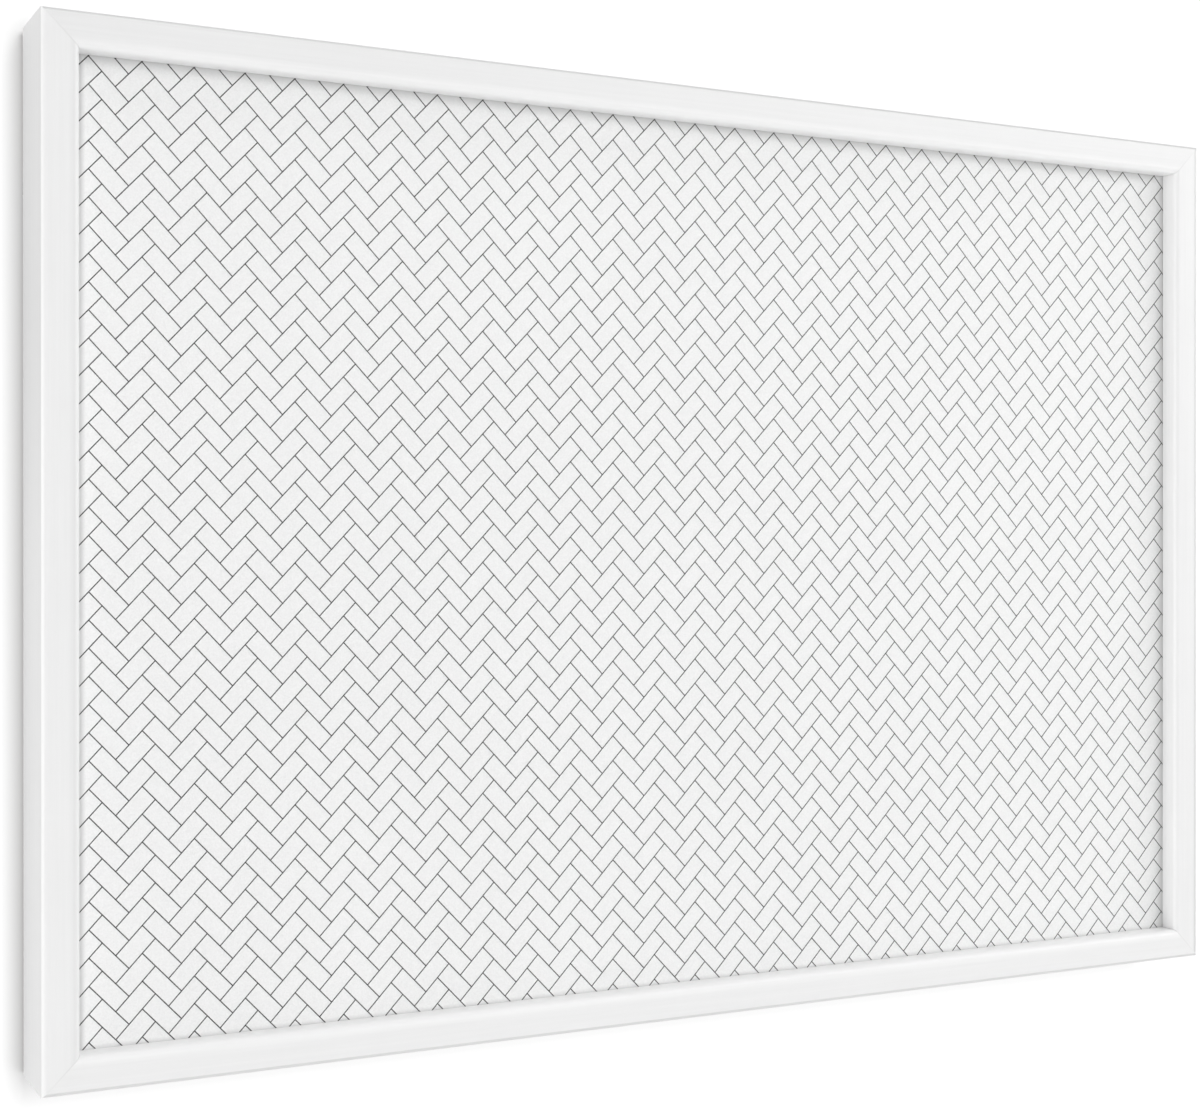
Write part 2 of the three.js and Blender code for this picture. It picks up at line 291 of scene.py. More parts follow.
def rounded(half: tuple[float, float], radius: float, steps: int = 4) -> np.ndarray:
    """An outline of a rectangle with rounded corners: four quarter arcs, joined by straight lines.

    Args:
        half: Half of its width and of its height.
        radius: The corners' radius.
        steps: How many steps a corner has.

    Returns:
        Rows of two coordinates.
    """
    across, up = half[0] - radius, half[1] - radius
    corners = ((across, up), (-across, up), (-across, -up), (across, -up))
    quarters = [arc(corner, radius, 90 * turn, 90 * turn + 90, steps) for turn, corner in enumerate(corners)]
    return np.vstack(quarters)


def spun(radius: np.ndarray, height: np.ndarray, sides: int) -> np.ndarray:
    """Rings about Y: each point is (radius cosine, height, radius sine) of an angle that grows evenly.

    Args:
        radius: A column of radii, or a row of them for each ring.
        height: A column of heights.
        sides: How many points go round.

    Returns:
        An array of rings, points and coordinates.
    """
    angle = np.linspace(0, 2 * math.pi, sides, endpoint=False)
    return np.stack((radius * np.cos(angle), height + 0 * angle, radius * np.sin(angle)), axis=-1)


def tube(rings: np.ndarray, finish: np.ndarray | int = 0) -> Shell:
    """A closed form through rings of points, with a flat cap on its first and its last ring.

    Args:
        rings: An array of rings, points and coordinates.
        finish: The finish number of each face, or one number for all of them.

    Returns:
        The form, with its faces outwards.
    """
    count, sides = rings.shape[:2]
    faces = grid_faces(count, sides, loop_columns=True)
    caps = [np.arange(sides)[::-1], (count - 1) * sides + np.arange(sides)]
    return Shell(rings.reshape(-1, 3), faces, caps, finish).outward()


def lathe(profile: np.ndarray, sides: int, centre: np.ndarray) -> Shell:
    """A closed form turned about Y from rows of radius and height, with its axis through the centre."""
    return tube(spun(profile[:, 0, None], profile[:, 1, None], sides) + centre)


def prism(plan: np.ndarray, heights: tuple[float, ...], scales: tuple[float, ...],
          centre: np.ndarray) -> Shell:
    """A closed form of one outline at several heights along Y: each ring is the outline times its scale.

    Args:
        plan: Rows of X and Z.
        heights: The Y of each ring.
        scales: How much larger than the outline each ring is.
        centre: Where the outline's zero lies.

    Returns:
        The form, with its faces outwards.
    """
    scale = np.array(scales)[:, None]
    level = np.array(heights)[:, None] + 0 * plan[:, 0]
    return tube(np.stack((scale * plan[:, 0], level, scale * plan[:, 1]), axis=-1) + centre)


def heading(route: np.ndarray) -> np.ndarray:
    """The unit direction at each point of a route, from its neighbours."""
    ahead = np.gradient(route, axis=0)
    return ahead / np.linalg.norm(ahead, axis=1, keepdims=True)


def cut_out(piece: Piece, cutters: list[Piece], sharp: float = 32.0) -> Piece:
    """Takes closed forms out of a piece, and deletes them.

    Args:
        piece: What is cut.
        cutters: Closed forms that overrun the faces that they open.
        sharp: The angle between two faces, in degrees, past which their edge stays sharp.

    Returns:
        The same piece with its cut mesh.
    """
    for cutter in cutters:
        change = piece.modifiers.new("cut", "BOOLEAN")
        change.operation = "DIFFERENCE"
        change.solver = "EXACT"
        change.object = cutter
    depsgraph = bpy.context.evaluated_depsgraph_get()
    mesh = bpy.data.meshes.new_from_object(piece.evaluated_get(depsgraph), depsgraph=depsgraph)
    piece.modifiers.clear()
    mesh.set_sharp_from_angle(angle=math.radians(sharp))
    mesh.name = piece.name
    piece.data = mesh
    for cutter in cutters:
        bpy.data.objects.remove(cutter)
    return piece


def attach(piece: Piece, node: str) -> Piece:
    """Lets a piece stand for a node, whose CAD part it hides, and ride on the node's body.

    Args:
        piece: The finished piece.
        node: The node that it stands for.

    Returns:
        The same piece.
    """
    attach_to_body(piece, frame["nodes"][node]["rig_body"])
    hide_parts(node)
    LOG.info("%s: %d faces, stands for %s", piece.name, len(piece.data.polygons), node)
    return piece


class Graph:
    """A node tree under construction."""

    def __init__(self, tree: bpy.types.NodeTree) -> None:
        """Takes the tree that the nodes go into."""
        self.tree = tree

    def node(self, kind: str, links: dict[str | int, object], outlet: str | int = 0,
             **settings: object) -> Socket:
        """Adds a node, sets or links its inputs, and returns one of its outlets.

        Args:
            kind: The node's type without the ShaderNode prefix.
            links: What goes into each named or numbered input: a socket or a constant.
            outlet: The outlet to return.
            **settings: Properties of the node.

        Returns:
            The outlet's socket.
        """
        made = self.tree.nodes.new("ShaderNode" + kind)
        for name, value in settings.items():
            setattr(made, name, value)
        for name, value in links.items():
            self.fill(made.inputs[name], value)
        return made.outputs[outlet]

    def fill(self, inlet: Socket, value: object) -> None:
        """Links an inlet to a socket, or sets it to a constant.

        Args:
            inlet: The inlet of a node.
            value: The socket or the constant.
        """
        if isinstance(value, Socket):
            self.tree.links.new(value, inlet)
        else:
            inlet.default_value = value

    def maths(self, operation: str, *values: Value) -> Socket:
        """One sum, product or the like of up to three values."""
        return self.node("Math", dict(enumerate(values)), operation=operation)

    def seen(self) -> Socket:
        """Whether a path shows the background: straight to the camera, in a reflection or through glass.

        Returns:
            A socket that is 1 for such a path and 0 for any other.
        """
        path = self.node("LightPath", {}).node.outputs
        mirrored = self.maths("MAXIMUM", path[Ray.CAMERA.value], path[Ray.GLOSSY.value])
        return self.maths("MAXIMUM", mirrored, path[Ray.TRANSMISSION.value])


class Recipe(Graph):
    """A material under construction: object coordinates in, one Principled shader out."""

    def __init__(self, name: str) -> None:
        """Starts an empty material.

        Args:
            name: The material's name.
        """
        self.material = bpy.data.materials.new(name)
        self.material.use_nodes = True
        super().__init__(self.material.node_tree)
        self.shader = self.tree.nodes["Principled BSDF"]
        self.place = self.tree.nodes.new("ShaderNodeTexCoord").outputs["Object"]

    def axis(self, number: int) -> Socket:
        """The place along X (0), Y (1) or Z (2)."""
        return self.node("SeparateXYZ", {0: self.place}, outlet=number)

    def inside(self, number: int, limit: float) -> Socket:
        """How far a place lies inside a limit on either side of zero, along X (0), Y (1) or Z (2)."""
        return self.maths("SUBTRACT", limit, self.maths("ABSOLUTE", self.axis(number)))

    def noise(self, size: float, grain: Grain = Grain.NONE, detail: float = 3.0,
              rough: float = 0.55) -> Socket:
        """Noise from 0 to 1.

        Args:
            size: How large its blotches are, in metres.
            grain: Which way they are drawn out.
            detail: How many finer layers it has.
            rough: How strong those layers are.

        Returns:
            The noise's socket.
        """
        stretched = self.node("Mapping", {"Vector": self.place, "Scale": grain.value})
        links = {"Vector": stretched, "Scale": 1 / size, "Detail": detail, "Roughness": rough}
        return self.node("TexNoise", links)

    def spread(self, value: Value, low: Value, high: Value, start: Value = 0.3, stop: Value = 0.7) -> Socket:
        """A value mapped from start and stop on to low and high."""
        links = {"Value": value, "From Min": start, "From Max": stop, "To Min": low, "To Max": high}
        return self.node("MapRange", links)

    def total(self, first: Value, second: Value) -> Socket:
        """The sum of two values."""
        return self.maths("ADD", first, second)

    def layered(self, first: Socket, first_share: float, second: Socket, second_share: float) -> Socket:
        """The sum of two noises, each spread from 0 to its share."""
        return self.total(self.spread(first, 0.0, first_share), self.spread(second, 0.0, second_share))

    def blend(self, share: Value, first: object, second: object) -> Socket:
        """Two colours mixed by a share."""
        return self.node("Mix", {"Factor": share, 6: first, 7: second}, outlet=2, data_type="RGBA")

    def bump(self, height: Socket, depth: float, strength: float = 1.0) -> None:
        """Raises the surface by a height map.

        Args:
            height: The map, from 0 to 1.
            depth: How high its full range stands, in metres.
            strength: How much of it is used.
        """
        links = {"Strength": strength, "Distance": depth, "Height": height}
        self.fill(self.shader.inputs["Normal"], self.node("Bump", links))

    def finish(self, **inputs: object) -> Material:
        """Sets or links the shader's inputs.

        Args:
            **inputs: What goes into each input, named with underscores for spaces.

        Returns:
            The finished material.
        """
        for name, value in inputs.items():
            self.fill(self.shader.inputs[name.replace("_", " ")], value)
        return self.material


class Coat(NamedTuple):
    """How one rail is painted, in tones from 0 to 255.

    Attributes:
        tone: The tone of its face, set a little apart on each rail as painted light and shade.
        lip: The tone of its lip: lighter than the face as a painted highlight, or darker as a painted shade.
        thin_width: How far in from the outer face the painted shade of the outer edge reaches.
        thin_low: The tone of that painted shade in the board's lower half.
        thin_high: Its tone near the board's top.
    """

    tone: float
    lip: float
    thin_width: float
    thin_low: float = 209
    thin_high: float = 209


@dataclass(frozen=True)
class SatinPaint:
    """White satin paint, laid off along the moulding.

    Its lip carries painted light: a painted highlight on the top and bottom rails, a painted shade on the
    left one. It is greyer in the mitre, and a painted shade lies over the outer edge and the outer faces.

    Attributes:
        side: The rail that it is on.
        half: Half the board's width and height.
        coat: How this rail is painted.
        brushed: How much darker the brush marks are.
        lip_start: How far in the lip's painted light starts, and lip_stop where it is full.
        thin_start: The height where thin_low starts to turn into thin_high,
            and thin_stop where it is full.
        thin_solid: The share of the painted edge shade's width where it is full.
        seam: The mitre's tone.
        seam_width: How far off the mitre its tone is full, and where it ends.
        seam_start: How far in the seam is weakest.
        seam_shares: How much of the seam shows there and at the lip.
    """

    side: Side
    half: tuple[float, float]
    coat: Coat
    brushed: float = 4
    lip_start: float = 12 * MM
    lip_stop: float = 15 * MM
    thin_start: float = -10 * MM
    thin_stop: float = 110 * MM
    thin_solid: float = 0.75
    seam: float = 220
    seam_width: tuple[float, float] = (0.25 * MM, 0.6 * MM)
    seam_start: float = 2 * MM
    seam_shares: tuple[float, float] = (0.1, 0.85)
    mark_width: float = 1.6 * MM
    cloud_size: float = 60 * MM
    orange_peel: float = 1.1 * MM
    relief: float = 0.006 * MM
    roughness: tuple[float, float] = (0.36, 0.46)

    def material(self) -> Material:
        """Builds the paint.

        Returns:
            The material.
        """
        recipe = Recipe(f"satin_paint_{self.side.label}")
        marks = recipe.noise(self.mark_width, self.side.grain, detail=4.0, rough=0.6)
        cloud = recipe.noise(self.cloud_size, detail=2.0)
        peel = recipe.noise(self.orange_peel, detail=1.0)
        recipe.bump(recipe.layered(marks, 0.8, peel, 0.5), self.relief)
        across, up = recipe.inside(0, self.half[0]), recipe.inside(2, self.half[1])
        inside = across if self.side.upright else up
        # Painted light on the lip: a painted highlight on the top and bottom rails, a painted shade on the
        # left rail.
        lip = recipe.spread(inside, 0.0, 1.0, self.lip_start, self.lip_stop)
        dark, light = (recipe.blend(lip, shade(self.coat.tone - less), shade(self.coat.lip - less))
                       for less in (self.brushed, 0))
        colour = recipe.blend(recipe.layered(marks, 0.7, cloud, 0.3), dark, light)
        seam = recipe.spread(recipe.maths("ABSOLUTE", recipe.maths("SUBTRACT", across, up)),
                             1.0, 0.0, *self.seam_width)
        shown = recipe.spread(inside, *self.seam_shares, self.seam_start, self.lip_start)
        colour = recipe.blend(recipe.maths("MULTIPLY", seam, shown), colour, shade(self.seam))
        # The thin colour below is painted shade over the outer edge and the outer faces; on the left rail it
        # deepens towards the board's top.
        painted_edge_shade_share = recipe.spread(inside, 1.0, 0.0, self.thin_solid * self.coat.thin_width, self.coat.thin_width)
        high = recipe.spread(recipe.axis(2), 0.0, 1.0, self.thin_start, self.thin_stop)
        thin = recipe.blend(high, shade(self.coat.thin_low), shade(self.coat.thin_high))
        return recipe.finish(Base_Color=recipe.blend(painted_edge_shade_share, colour, thin),
                             Roughness=recipe.spread(marks, *self.roughness), Specular_IOR_Level=0.45)


@dataclass(frozen=True)
class PrintedFilm:
    """Matt white film over steel, with the fine pebble of a printed surface and a painted shade by the rails.

    Attributes:
        opening: Half the width and half the height that the rails leave open.
        light: The film's lightest tone, and dark its darkest one.
        dust: The tone of the painted shade.
        dust_width: The distance over which the painted shade falls off to nothing.
        dust_fall: The power of its falling off.
        left_dust: What the distance off the left rail is multiplied by, and what is then taken off it.
        top_gap: What is added to the distance off the top rail.
        bottom_dust: What the distance off the bottom rail is multiplied by, and what is then added to it.
    """

    opening: tuple[float, float]
    light: float = 246
    dark: float = 236
    dust: float = 203
    dust_width: float = 6 * MM
    dust_fall: float = 1.3
    left_dust: tuple[float, float] = (2.4, 6.4 * MM)
    top_gap: float = 0.6 * MM
    bottom_dust: tuple[float, float] = (2, 1.5 * MM)
    pebble: float = 0.95 * MM
    cloud_size: float = 110 * MM
    relief: float = 0.03 * MM
    roughness: tuple[float, float] = (0.5, 0.62)

    def material(self) -> Material:
        """Builds the film.

        Returns:
            The material.
        """
        recipe = Recipe("printed_film")
        pebble = recipe.noise(self.pebble, detail=2.0, rough=0.7)
        cloud = recipe.noise(self.cloud_size, detail=2.0)
        recipe.bump(recipe.spread(pebble, 0.0, 1.0), self.relief)
        colour = recipe.blend(recipe.layered(pebble, 0.85, cloud, 0.15), shade(self.dark), shade(self.light))
        # Painted shade by the rails, where the recess under the lips falls in shadow.
        colour = recipe.blend(self.shaded(recipe), colour, shade(self.dust))
        return recipe.finish(Base_Color=colour, Roughness=recipe.spread(pebble, *self.roughness))

    def shaded(self, recipe: Recipe) -> Socket:
        """How much painted shade the film has by the rails.

        It is one less the smallest of the four distances off the rails over the painted shade's width, to a
        power.

        Args:
            recipe: The film's material.

        Returns:
            The shade's share.
        """
        across, up = recipe.axis(0), recipe.axis(2)
        wide, high = self.opening
        (left, left_start), (bottom, bottom_start) = self.left_dust, self.bottom_dust
        slopes = ((across, left, left * wide - left_start), (across, -1, wide),
                  (up, -1, high + self.top_gap), (up, bottom, bottom * high + bottom_start))
        nearest = self.dust_width
        for place, slope, start in slopes:
            nearest = recipe.maths("MINIMUM", nearest, recipe.maths("MULTIPLY_ADD", place, slope, start))
        return recipe.maths("POWER", recipe.spread(nearest, 1.0, 0.0, 0.0, self.dust_width), self.dust_fall)


@dataclass(frozen=True)
class PrintInk:
    """Dark grey ink of the herringbone lines, a little uneven along a line."""

    tone: float = 56
    denser: float = 6
    thinner: float = 8
    wear_size: float = 2.5 * MM

    def material(self) -> Material:
        """Builds the ink.

        Returns:
            The material.
        """
        recipe = Recipe("print_ink")
        wear = recipe.spread(recipe.noise(self.wear_size, detail=2.0), 0.0, 1.0)
        colour = recipe.blend(wear, shade(self.tone - self.denser), shade(self.tone + self.thinner))
        return recipe.finish(Base_Color=colour, Roughness=0.55)


@dataclass(frozen=True)
class Wood:
    """Planed softwood, or the bare back of a moulding: pale growth bands and short dark pores.

    Attributes:
        name: The first part of the material's name.
        grain: The way that it runs.
        early: The colour of the pale wood, and late that of the dark wood.
        overspray: How far the painted outer faces lie from the middle in X and in Z, or None.
        mist_depth: The least and the most that the paint mist reaches in from them.
    """

    name: str
    grain: Grain
    early: Colour = (229, 203, 160)
    late: Colour = (206, 171, 122)
    band: float = 5 * MM
    pore: float = 0.7 * MM
    relief: float = 0.05 * MM
    roughness: tuple[float, float] = (0.62, 0.8)
    overspray: tuple[float, float] | None = None
    mist_tone: float = 238
    mist_depth: tuple[float, float] = (0.6 * MM, 3.2 * MM)
    mist_size: float = 4 * MM

    def material(self) -> Material:
        """Builds the wood, with paint mist near the outer faces where overspray gives their distances.

        Returns:
            The material.
        """
        recipe = Recipe(f"{self.name}_{self.grain.name.lower()}")
        bands = recipe.noise(self.band, self.grain, detail=2.0)
        pores = recipe.noise(self.pore, self.grain, detail=3.0, rough=0.7)
        tone = recipe.total(recipe.spread(bands, 0.0, 0.75), recipe.spread(pores, 0.0, 0.35, 0.35, 0.65))
        colour = recipe.blend(tone, shade(*self.early), shade(*self.late))
        if self.overspray:
            colour = recipe.blend(self.mist(recipe), colour, shade(self.mist_tone))
        recipe.bump(pores, self.relief, 0.8)
        return recipe.finish(Base_Color=colour, Roughness=recipe.spread(pores, *self.roughness))

    def mist(self, recipe: Recipe) -> Socket:
        """How much paint mist lies at a place: full at the board's outer faces, none a little inside them.

        Args:
            recipe: The wood's material.

        Returns:
            The mist's share.
        """
        reach = recipe.spread(recipe.noise(self.mist_size, detail=4.0), *self.mist_depth)
        shares = [recipe.spread(recipe.inside(axis, edge), 1.0, 0.0, 0.0, reach)
                  for axis, edge in zip((0, 2), self.overspray)]
        return recipe.maths("MAXIMUM", *shares)


@dataclass(frozen=True)
class PressedFibre:
    """Pressed wood fibre: mottled, with fine light and dark flecks.

    Attributes:
        name: The material's name.
        base: The colour between the flecks.
        fleck: The flecks' colour.
        roughness: Its middle roughness, which varies by rough_range either way.
    """

    name: str
    base: Colour
    fleck: Colour
    roughness: float = 0.6
    rough_range: float = 0.08
    fleck_size: float = 0.9 * MM
    felt_size: float = 6 * MM
    cloud_size: float = 90 * MM
    relief: float = 0.05 * MM

    def material(self) -> Material:
        """Builds the fibre board.

        Returns:
            The material.
        """
        recipe = Recipe(self.name)
        flecks = recipe.noise(self.fleck_size, detail=5.0, rough=0.75)
        felt = recipe.noise(self.felt_size, detail=4.0, rough=0.65)
        cloud = recipe.noise(self.cloud_size, detail=2.0)
        tone = recipe.total(recipe.layered(flecks, 0.5, felt, 0.35), recipe.spread(cloud, -0.1, 0.15))
        recipe.bump(recipe.layered(flecks, 0.6, felt, 0.4), self.relief)
        colour = recipe.blend(tone, shade(*self.base), shade(*self.fleck))
        rough = recipe.spread(felt, self.roughness - self.rough_range, self.roughness + self.rough_range)
        return recipe.finish(Base_Color=colour, Roughness=rough)


@dataclass(frozen=True)
class Metal:
    """Bare or plated metal with fine tumbling marks and a cloudy bloom.

    Attributes:
        name: The material's name.
        bright: Its colour outside the bloom.
        dull: Its colour in the bloom.
        smooth: The roughness outside the bloom, and rough that in it.
        mark: How large the marks are, and bloom how large its clouds are.
    """

    name: str
    bright: Colour
    dull: Colour
    smooth: float = 0.24
    rough: float = 0.42
    mark: float = 0.35 * MM
    bloom: float = 5 * MM
    relief: float = 0.008 * MM
    mark_range: float = 0.04

    def material(self) -> Material:
        """Builds the metal.

        Returns:
            The material.
        """
        recipe = Recipe(self.name)
        marks = recipe.noise(self.mark, detail=3.0, rough=0.7)
        bloom = recipe.noise(self.bloom, detail=3.0)
        recipe.bump(marks, self.relief, 0.7)
        colour = recipe.blend(recipe.spread(bloom, 0.0, 1.0), shade(*self.bright), shade(*self.dull))
        rough = recipe.total(recipe.spread(bloom, self.smooth, self.rough),
                             recipe.spread(marks, -self.mark_range, self.mark_range))
        return recipe.finish(Base_Color=colour, Roughness=rough, Metallic=1.0)


@dataclass(frozen=True)
class SoftRubber:
    """Clear-grey soft plastic of the wall bumpers, cloudy inside."""

    light: Colour = (226, 229, 229)
    dark: Colour = (204, 208, 209)
    cloud_size: float = 3 * MM
    grit_size: float = 0.4 * MM
    relief: float = 0.01 * MM
    roughness: tuple[float, float] = (0.28, 0.4)
    glow_depth: float = 2 * MM

    def material(self) -> Material:
        """Builds the rubber.

        Returns:
            The material.
        """
        recipe = Recipe("soft_rubber")
        cloud = recipe.noise(self.cloud_size, detail=3.0)
        recipe.bump(recipe.noise(self.grit_size, detail=2.0), self.relief, 0.5)
        colour = recipe.blend(recipe.spread(cloud, 0.0, 1.0), shade(*self.light), shade(*self.dark))
        return recipe.finish(Base_Color=colour, Roughness=recipe.spread(cloud, *self.roughness),
                             Subsurface_Weight=0.25, Subsurface_Scale=self.glow_depth)


@dataclass(frozen=True)
class Envelope:
    """The sizes that the pieces share, read from the frame.

    Attributes:
        half_width: How far the outer face lies from the middle in X, and half_height in Z.
        front: The Y of the rails' front.
        back_land: The Y of their flat back.
        rail_face: How wide a rail is, seen from the front.
        film_front: The Y of the printed face.
        land_width: How wide a rail is at its back.
    """

    half_width: float
    half_height: float
    front: float
    back_land: float
    rail_face: float
    film_front: float
    land_width: float

    @classmethod
    def read(cls, pack_clearance: float = 1 * MM) -> "Envelope":
        """Reads the sizes from the nodes' boxes.

        Args:
            pack_clearance: How far the panel's boards stay clear of the rebate all round.

        Returns:
            The envelope.
        """
        top_low, top_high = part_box("rail_top")
        right_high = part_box("rail_right")[1]
        film_low, film_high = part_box("printed_film")
        return cls(
            half_width=right_high.x,
            half_height=top_high.z,
            front=top_low.y,
            back_land=top_high.y,
            rail_face=top_high.z - top_low.z,
            film_front=film_low.y,
            land_width=right_high.x - film_high.x - pack_clearance,
        )

    @property
    def half(self) -> tuple[float, float]:
        """Half the board's width and height."""
        return self.half_width, self.half_height

    @property
    def opening(self) -> tuple[float, float]:
        """Half the width and half the height that the rails leave open."""
        return self.half_width - self.rail_face, self.half_height - self.rail_face

    def reach(self, side: Side) -> float:
        """How far a side's outer face lies from the middle of the board."""
        return self.half_width if side.upright else self.half_height

    def half_span(self, side: Side) -> float:
        """Half of a side's own length."""
        return self.half_height if side.upright else self.half_width


@dataclass
class Mouldings:
    """The four mitred rails: an L section with eased edges, painted in front and bare at the back.

    Attributes:
        envelope: The board's sizes.
        front_edge: The radius of the outer front edge, and lip_edge that of the lip.
        back_arris: The radius of the back outer edge, and rebate_arris that of the rebate's two edges.
        lip_clearance: How far the lip stays off the film.
        mitre_gap: The gap between two rails' ends.
        nail_clearance: How far a slot stays off its nail all round, and nail_sheet the nail's thickness.
        screw_radius: The radius of the screws' thread, which the pilot holes exceed by screw_clearance.
        hole_axis: The radius at the two ends of a hole's form, which closes it.
        overrun: How far the forms that cut run out of the back.
        coats: How each rail is painted, with its painted light and shade.
        paint: The number of the painted finish, and bare that of the bare one.
    """

    envelope: Envelope
    front_edge: float = 2.5 * MM
    lip_edge: float = 3.0 * MM
    back_arris: float = 0.6 * MM
    rebate_arris: float = 0.25 * MM
    lip_clearance: float = 0.05 * MM
    mitre_gap: float = 0.025 * MM
    nail_clearance: float = 0.04 * MM
    nail_sheet: float = 0.6 * MM
    screw_radius: float = 1.2 * MM
    screw_clearance: float = 0.1 * MM
    hole_sides: int = 20
    hole_axis: float = 0.01 * MM
    overrun: float = 1 * MM
    sharp: float = 20.0
    # The rails' tones hold painted light: the face tones differ a little from rail to rail, the lips carry a
    # painted highlight on the top and bottom rails and a painted shade on the left one, and the outer edges a
    # painted shade.
    coats: dict[Side, Coat] = field(default_factory=lambda: {
        Side.TOP: Coat(230, 237, 1.7 * MM), Side.BOTTOM: Coat(232, 239, 2.2 * MM),
        Side.RIGHT: Coat(232, 232, 3.5 * MM), Side.LEFT: Coat(233, 226, 0.12 * MM, thin_high=197)})
    edge_steps: int = 14
    rebate_steps: int = 3
    back_steps: int = 4
    paint: int = 0
    bare: int = 1

    def profile(self) -> tuple[np.ndarray, np.ndarray]:
        """The section, as arcs joined by straight lines, from the front outer edge round to the outer face.

        Returns:
            Rows of inward and back distances, and the finish of the line that starts at each row.
        """
        face, depth = self.envelope.rail_face, self.envelope.back_land - self.envelope.front
        lip_back = self.envelope.film_front - self.envelope.front - self.lip_clearance
        land, edge, lip = self.envelope.land_width, self.front_edge, self.lip_edge
        fine, back = self.rebate_arris, self.back_arris
        runs = (
            (self.paint, arc((edge, edge), edge, 180, 270, self.edge_steps)),
            (self.paint, arc((face - lip, lip), lip, 270, 360, self.edge_steps)),
            (self.paint, arc((face - fine, lip_back - fine), fine, 0, 90, self.rebate_steps)),
            (self.bare, np.array([[land, lip_back]])),
            (self.bare, arc((land - fine, depth - fine), fine, 0, 90, self.rebate_steps)),
            (self.paint, arc((back, depth - back), back, 90, 180, self.back_steps)),
        )
        finish = np.concatenate([np.full(len(rows), number) for number, rows in runs])
        return np.vstack([rows for _, rows in runs]), finish

    def bar(self, side: Side, materials: list[Material]) -> Piece:
        """One rail: each section point is carried to half the span less its inward distance at both ends.

        Args:
            side: Which rail.
            materials: The paint and the bare wood.

        Returns:
            The rail without its holes.
        """
        section, finish = self.profile()
        inward, back = section[:, 0], section[:, 1]
        along = np.array([-1.0, 1.0])[:, None] * (self.envelope.half_span(side) - inward - self.mitre_gap / 2)
        depth = self.envelope.front + back + 0 * along
        height = inward - self.envelope.reach(side) + 0 * along
        points = side.placed(np.stack((along, depth, height), axis=-1).reshape(-1, 3))
        rail = tube(points.reshape(2, -1, 3), finish)
        return rail.piece(f"{side.label}_moulding", materials, self.sharp)

    def slot_cutters(self, side: Side) -> list[Piece]:
        """Forms for the two corner slots, grown from the nails' own boxes and run out of the back.

        Args:
            side: Which rail.

        Returns:
            The two forms.
        """
        ends = {Side.BOTTOM: ("bottom_left", "bottom_right"), Side.TOP: ("top_left", "top_right"),
                Side.LEFT: ("top_left", "bottom_left"), Side.RIGHT: ("top_right", "bottom_right")}
        return [self.grown_nail(f"v_nail_{corner}") for corner in ends[side]]

    def grown_nail(self, node: str) -> Piece:
        """A nail's form, with each point moved out from the nail's middle line by the clearance.

        Args:
            node: The nail's node.

        Returns:
            A closed form that overruns the back land.
        """
        low, high = (np.array(corner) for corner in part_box(node))
        sign = np.sign((low + high)[[0, 2]])
        outer = np.where(sign > 0, high[[0, 2]], low[[0, 2]]) + sign * self.nail_clearance
        sheet = self.nail_sheet + 2 * self.nail_clearance
        leg = high[0] - low[0] + 2 * self.nail_clearance
        inward = np.array([[0, 0], [leg, 0], [leg, sheet], [sheet, sheet], [sheet, leg], [0, leg]])
        depths = (low[1] - self.nail_clearance, self.envelope.back_land + self.overrun)
        return prism(outer - sign * inward, depths, (1, 1), np.zeros(3)).piece("slot_cutter", [])

    def hole_cutters(self, side: Side) -> list[Piece]:
        """Forms for the pilot holes under the side's screws, run out of the back.

        Args:
            side: Which rail.

        Returns:
            One form for each screw.
        """
        cutters = []
        radius = self.screw_radius + self.screw_clearance
        top = self.envelope.back_land + self.overrun
        for node in nodes_named(f"button_screw_{side.label}", f"strap_screw_{side.label}"):
            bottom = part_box(node)[0].y
            profile = [[self.hole_axis, bottom], [radius, bottom], [radius, top], [self.hole_axis, top]]
            cutter = lathe(np.array(profile), self.hole_sides, middle(node, 0))
            cutters.append(cutter.piece("hole_cutter", []))
        return cutters

    def build(self) -> None:
        """Makes and dresses the four rails."""
        half = self.envelope.half
        for side in Side:
            materials = [SatinPaint(side, half, self.coats[side]).material(),
                         Wood("bare_moulding", side.grain, overspray=half).material()]
            rail = self.bar(side, materials)
            cut_out(rail, self.slot_cutters(side) + self.hole_cutters(side), self.sharp)
            attach(rail, f"rail_{side.label}")


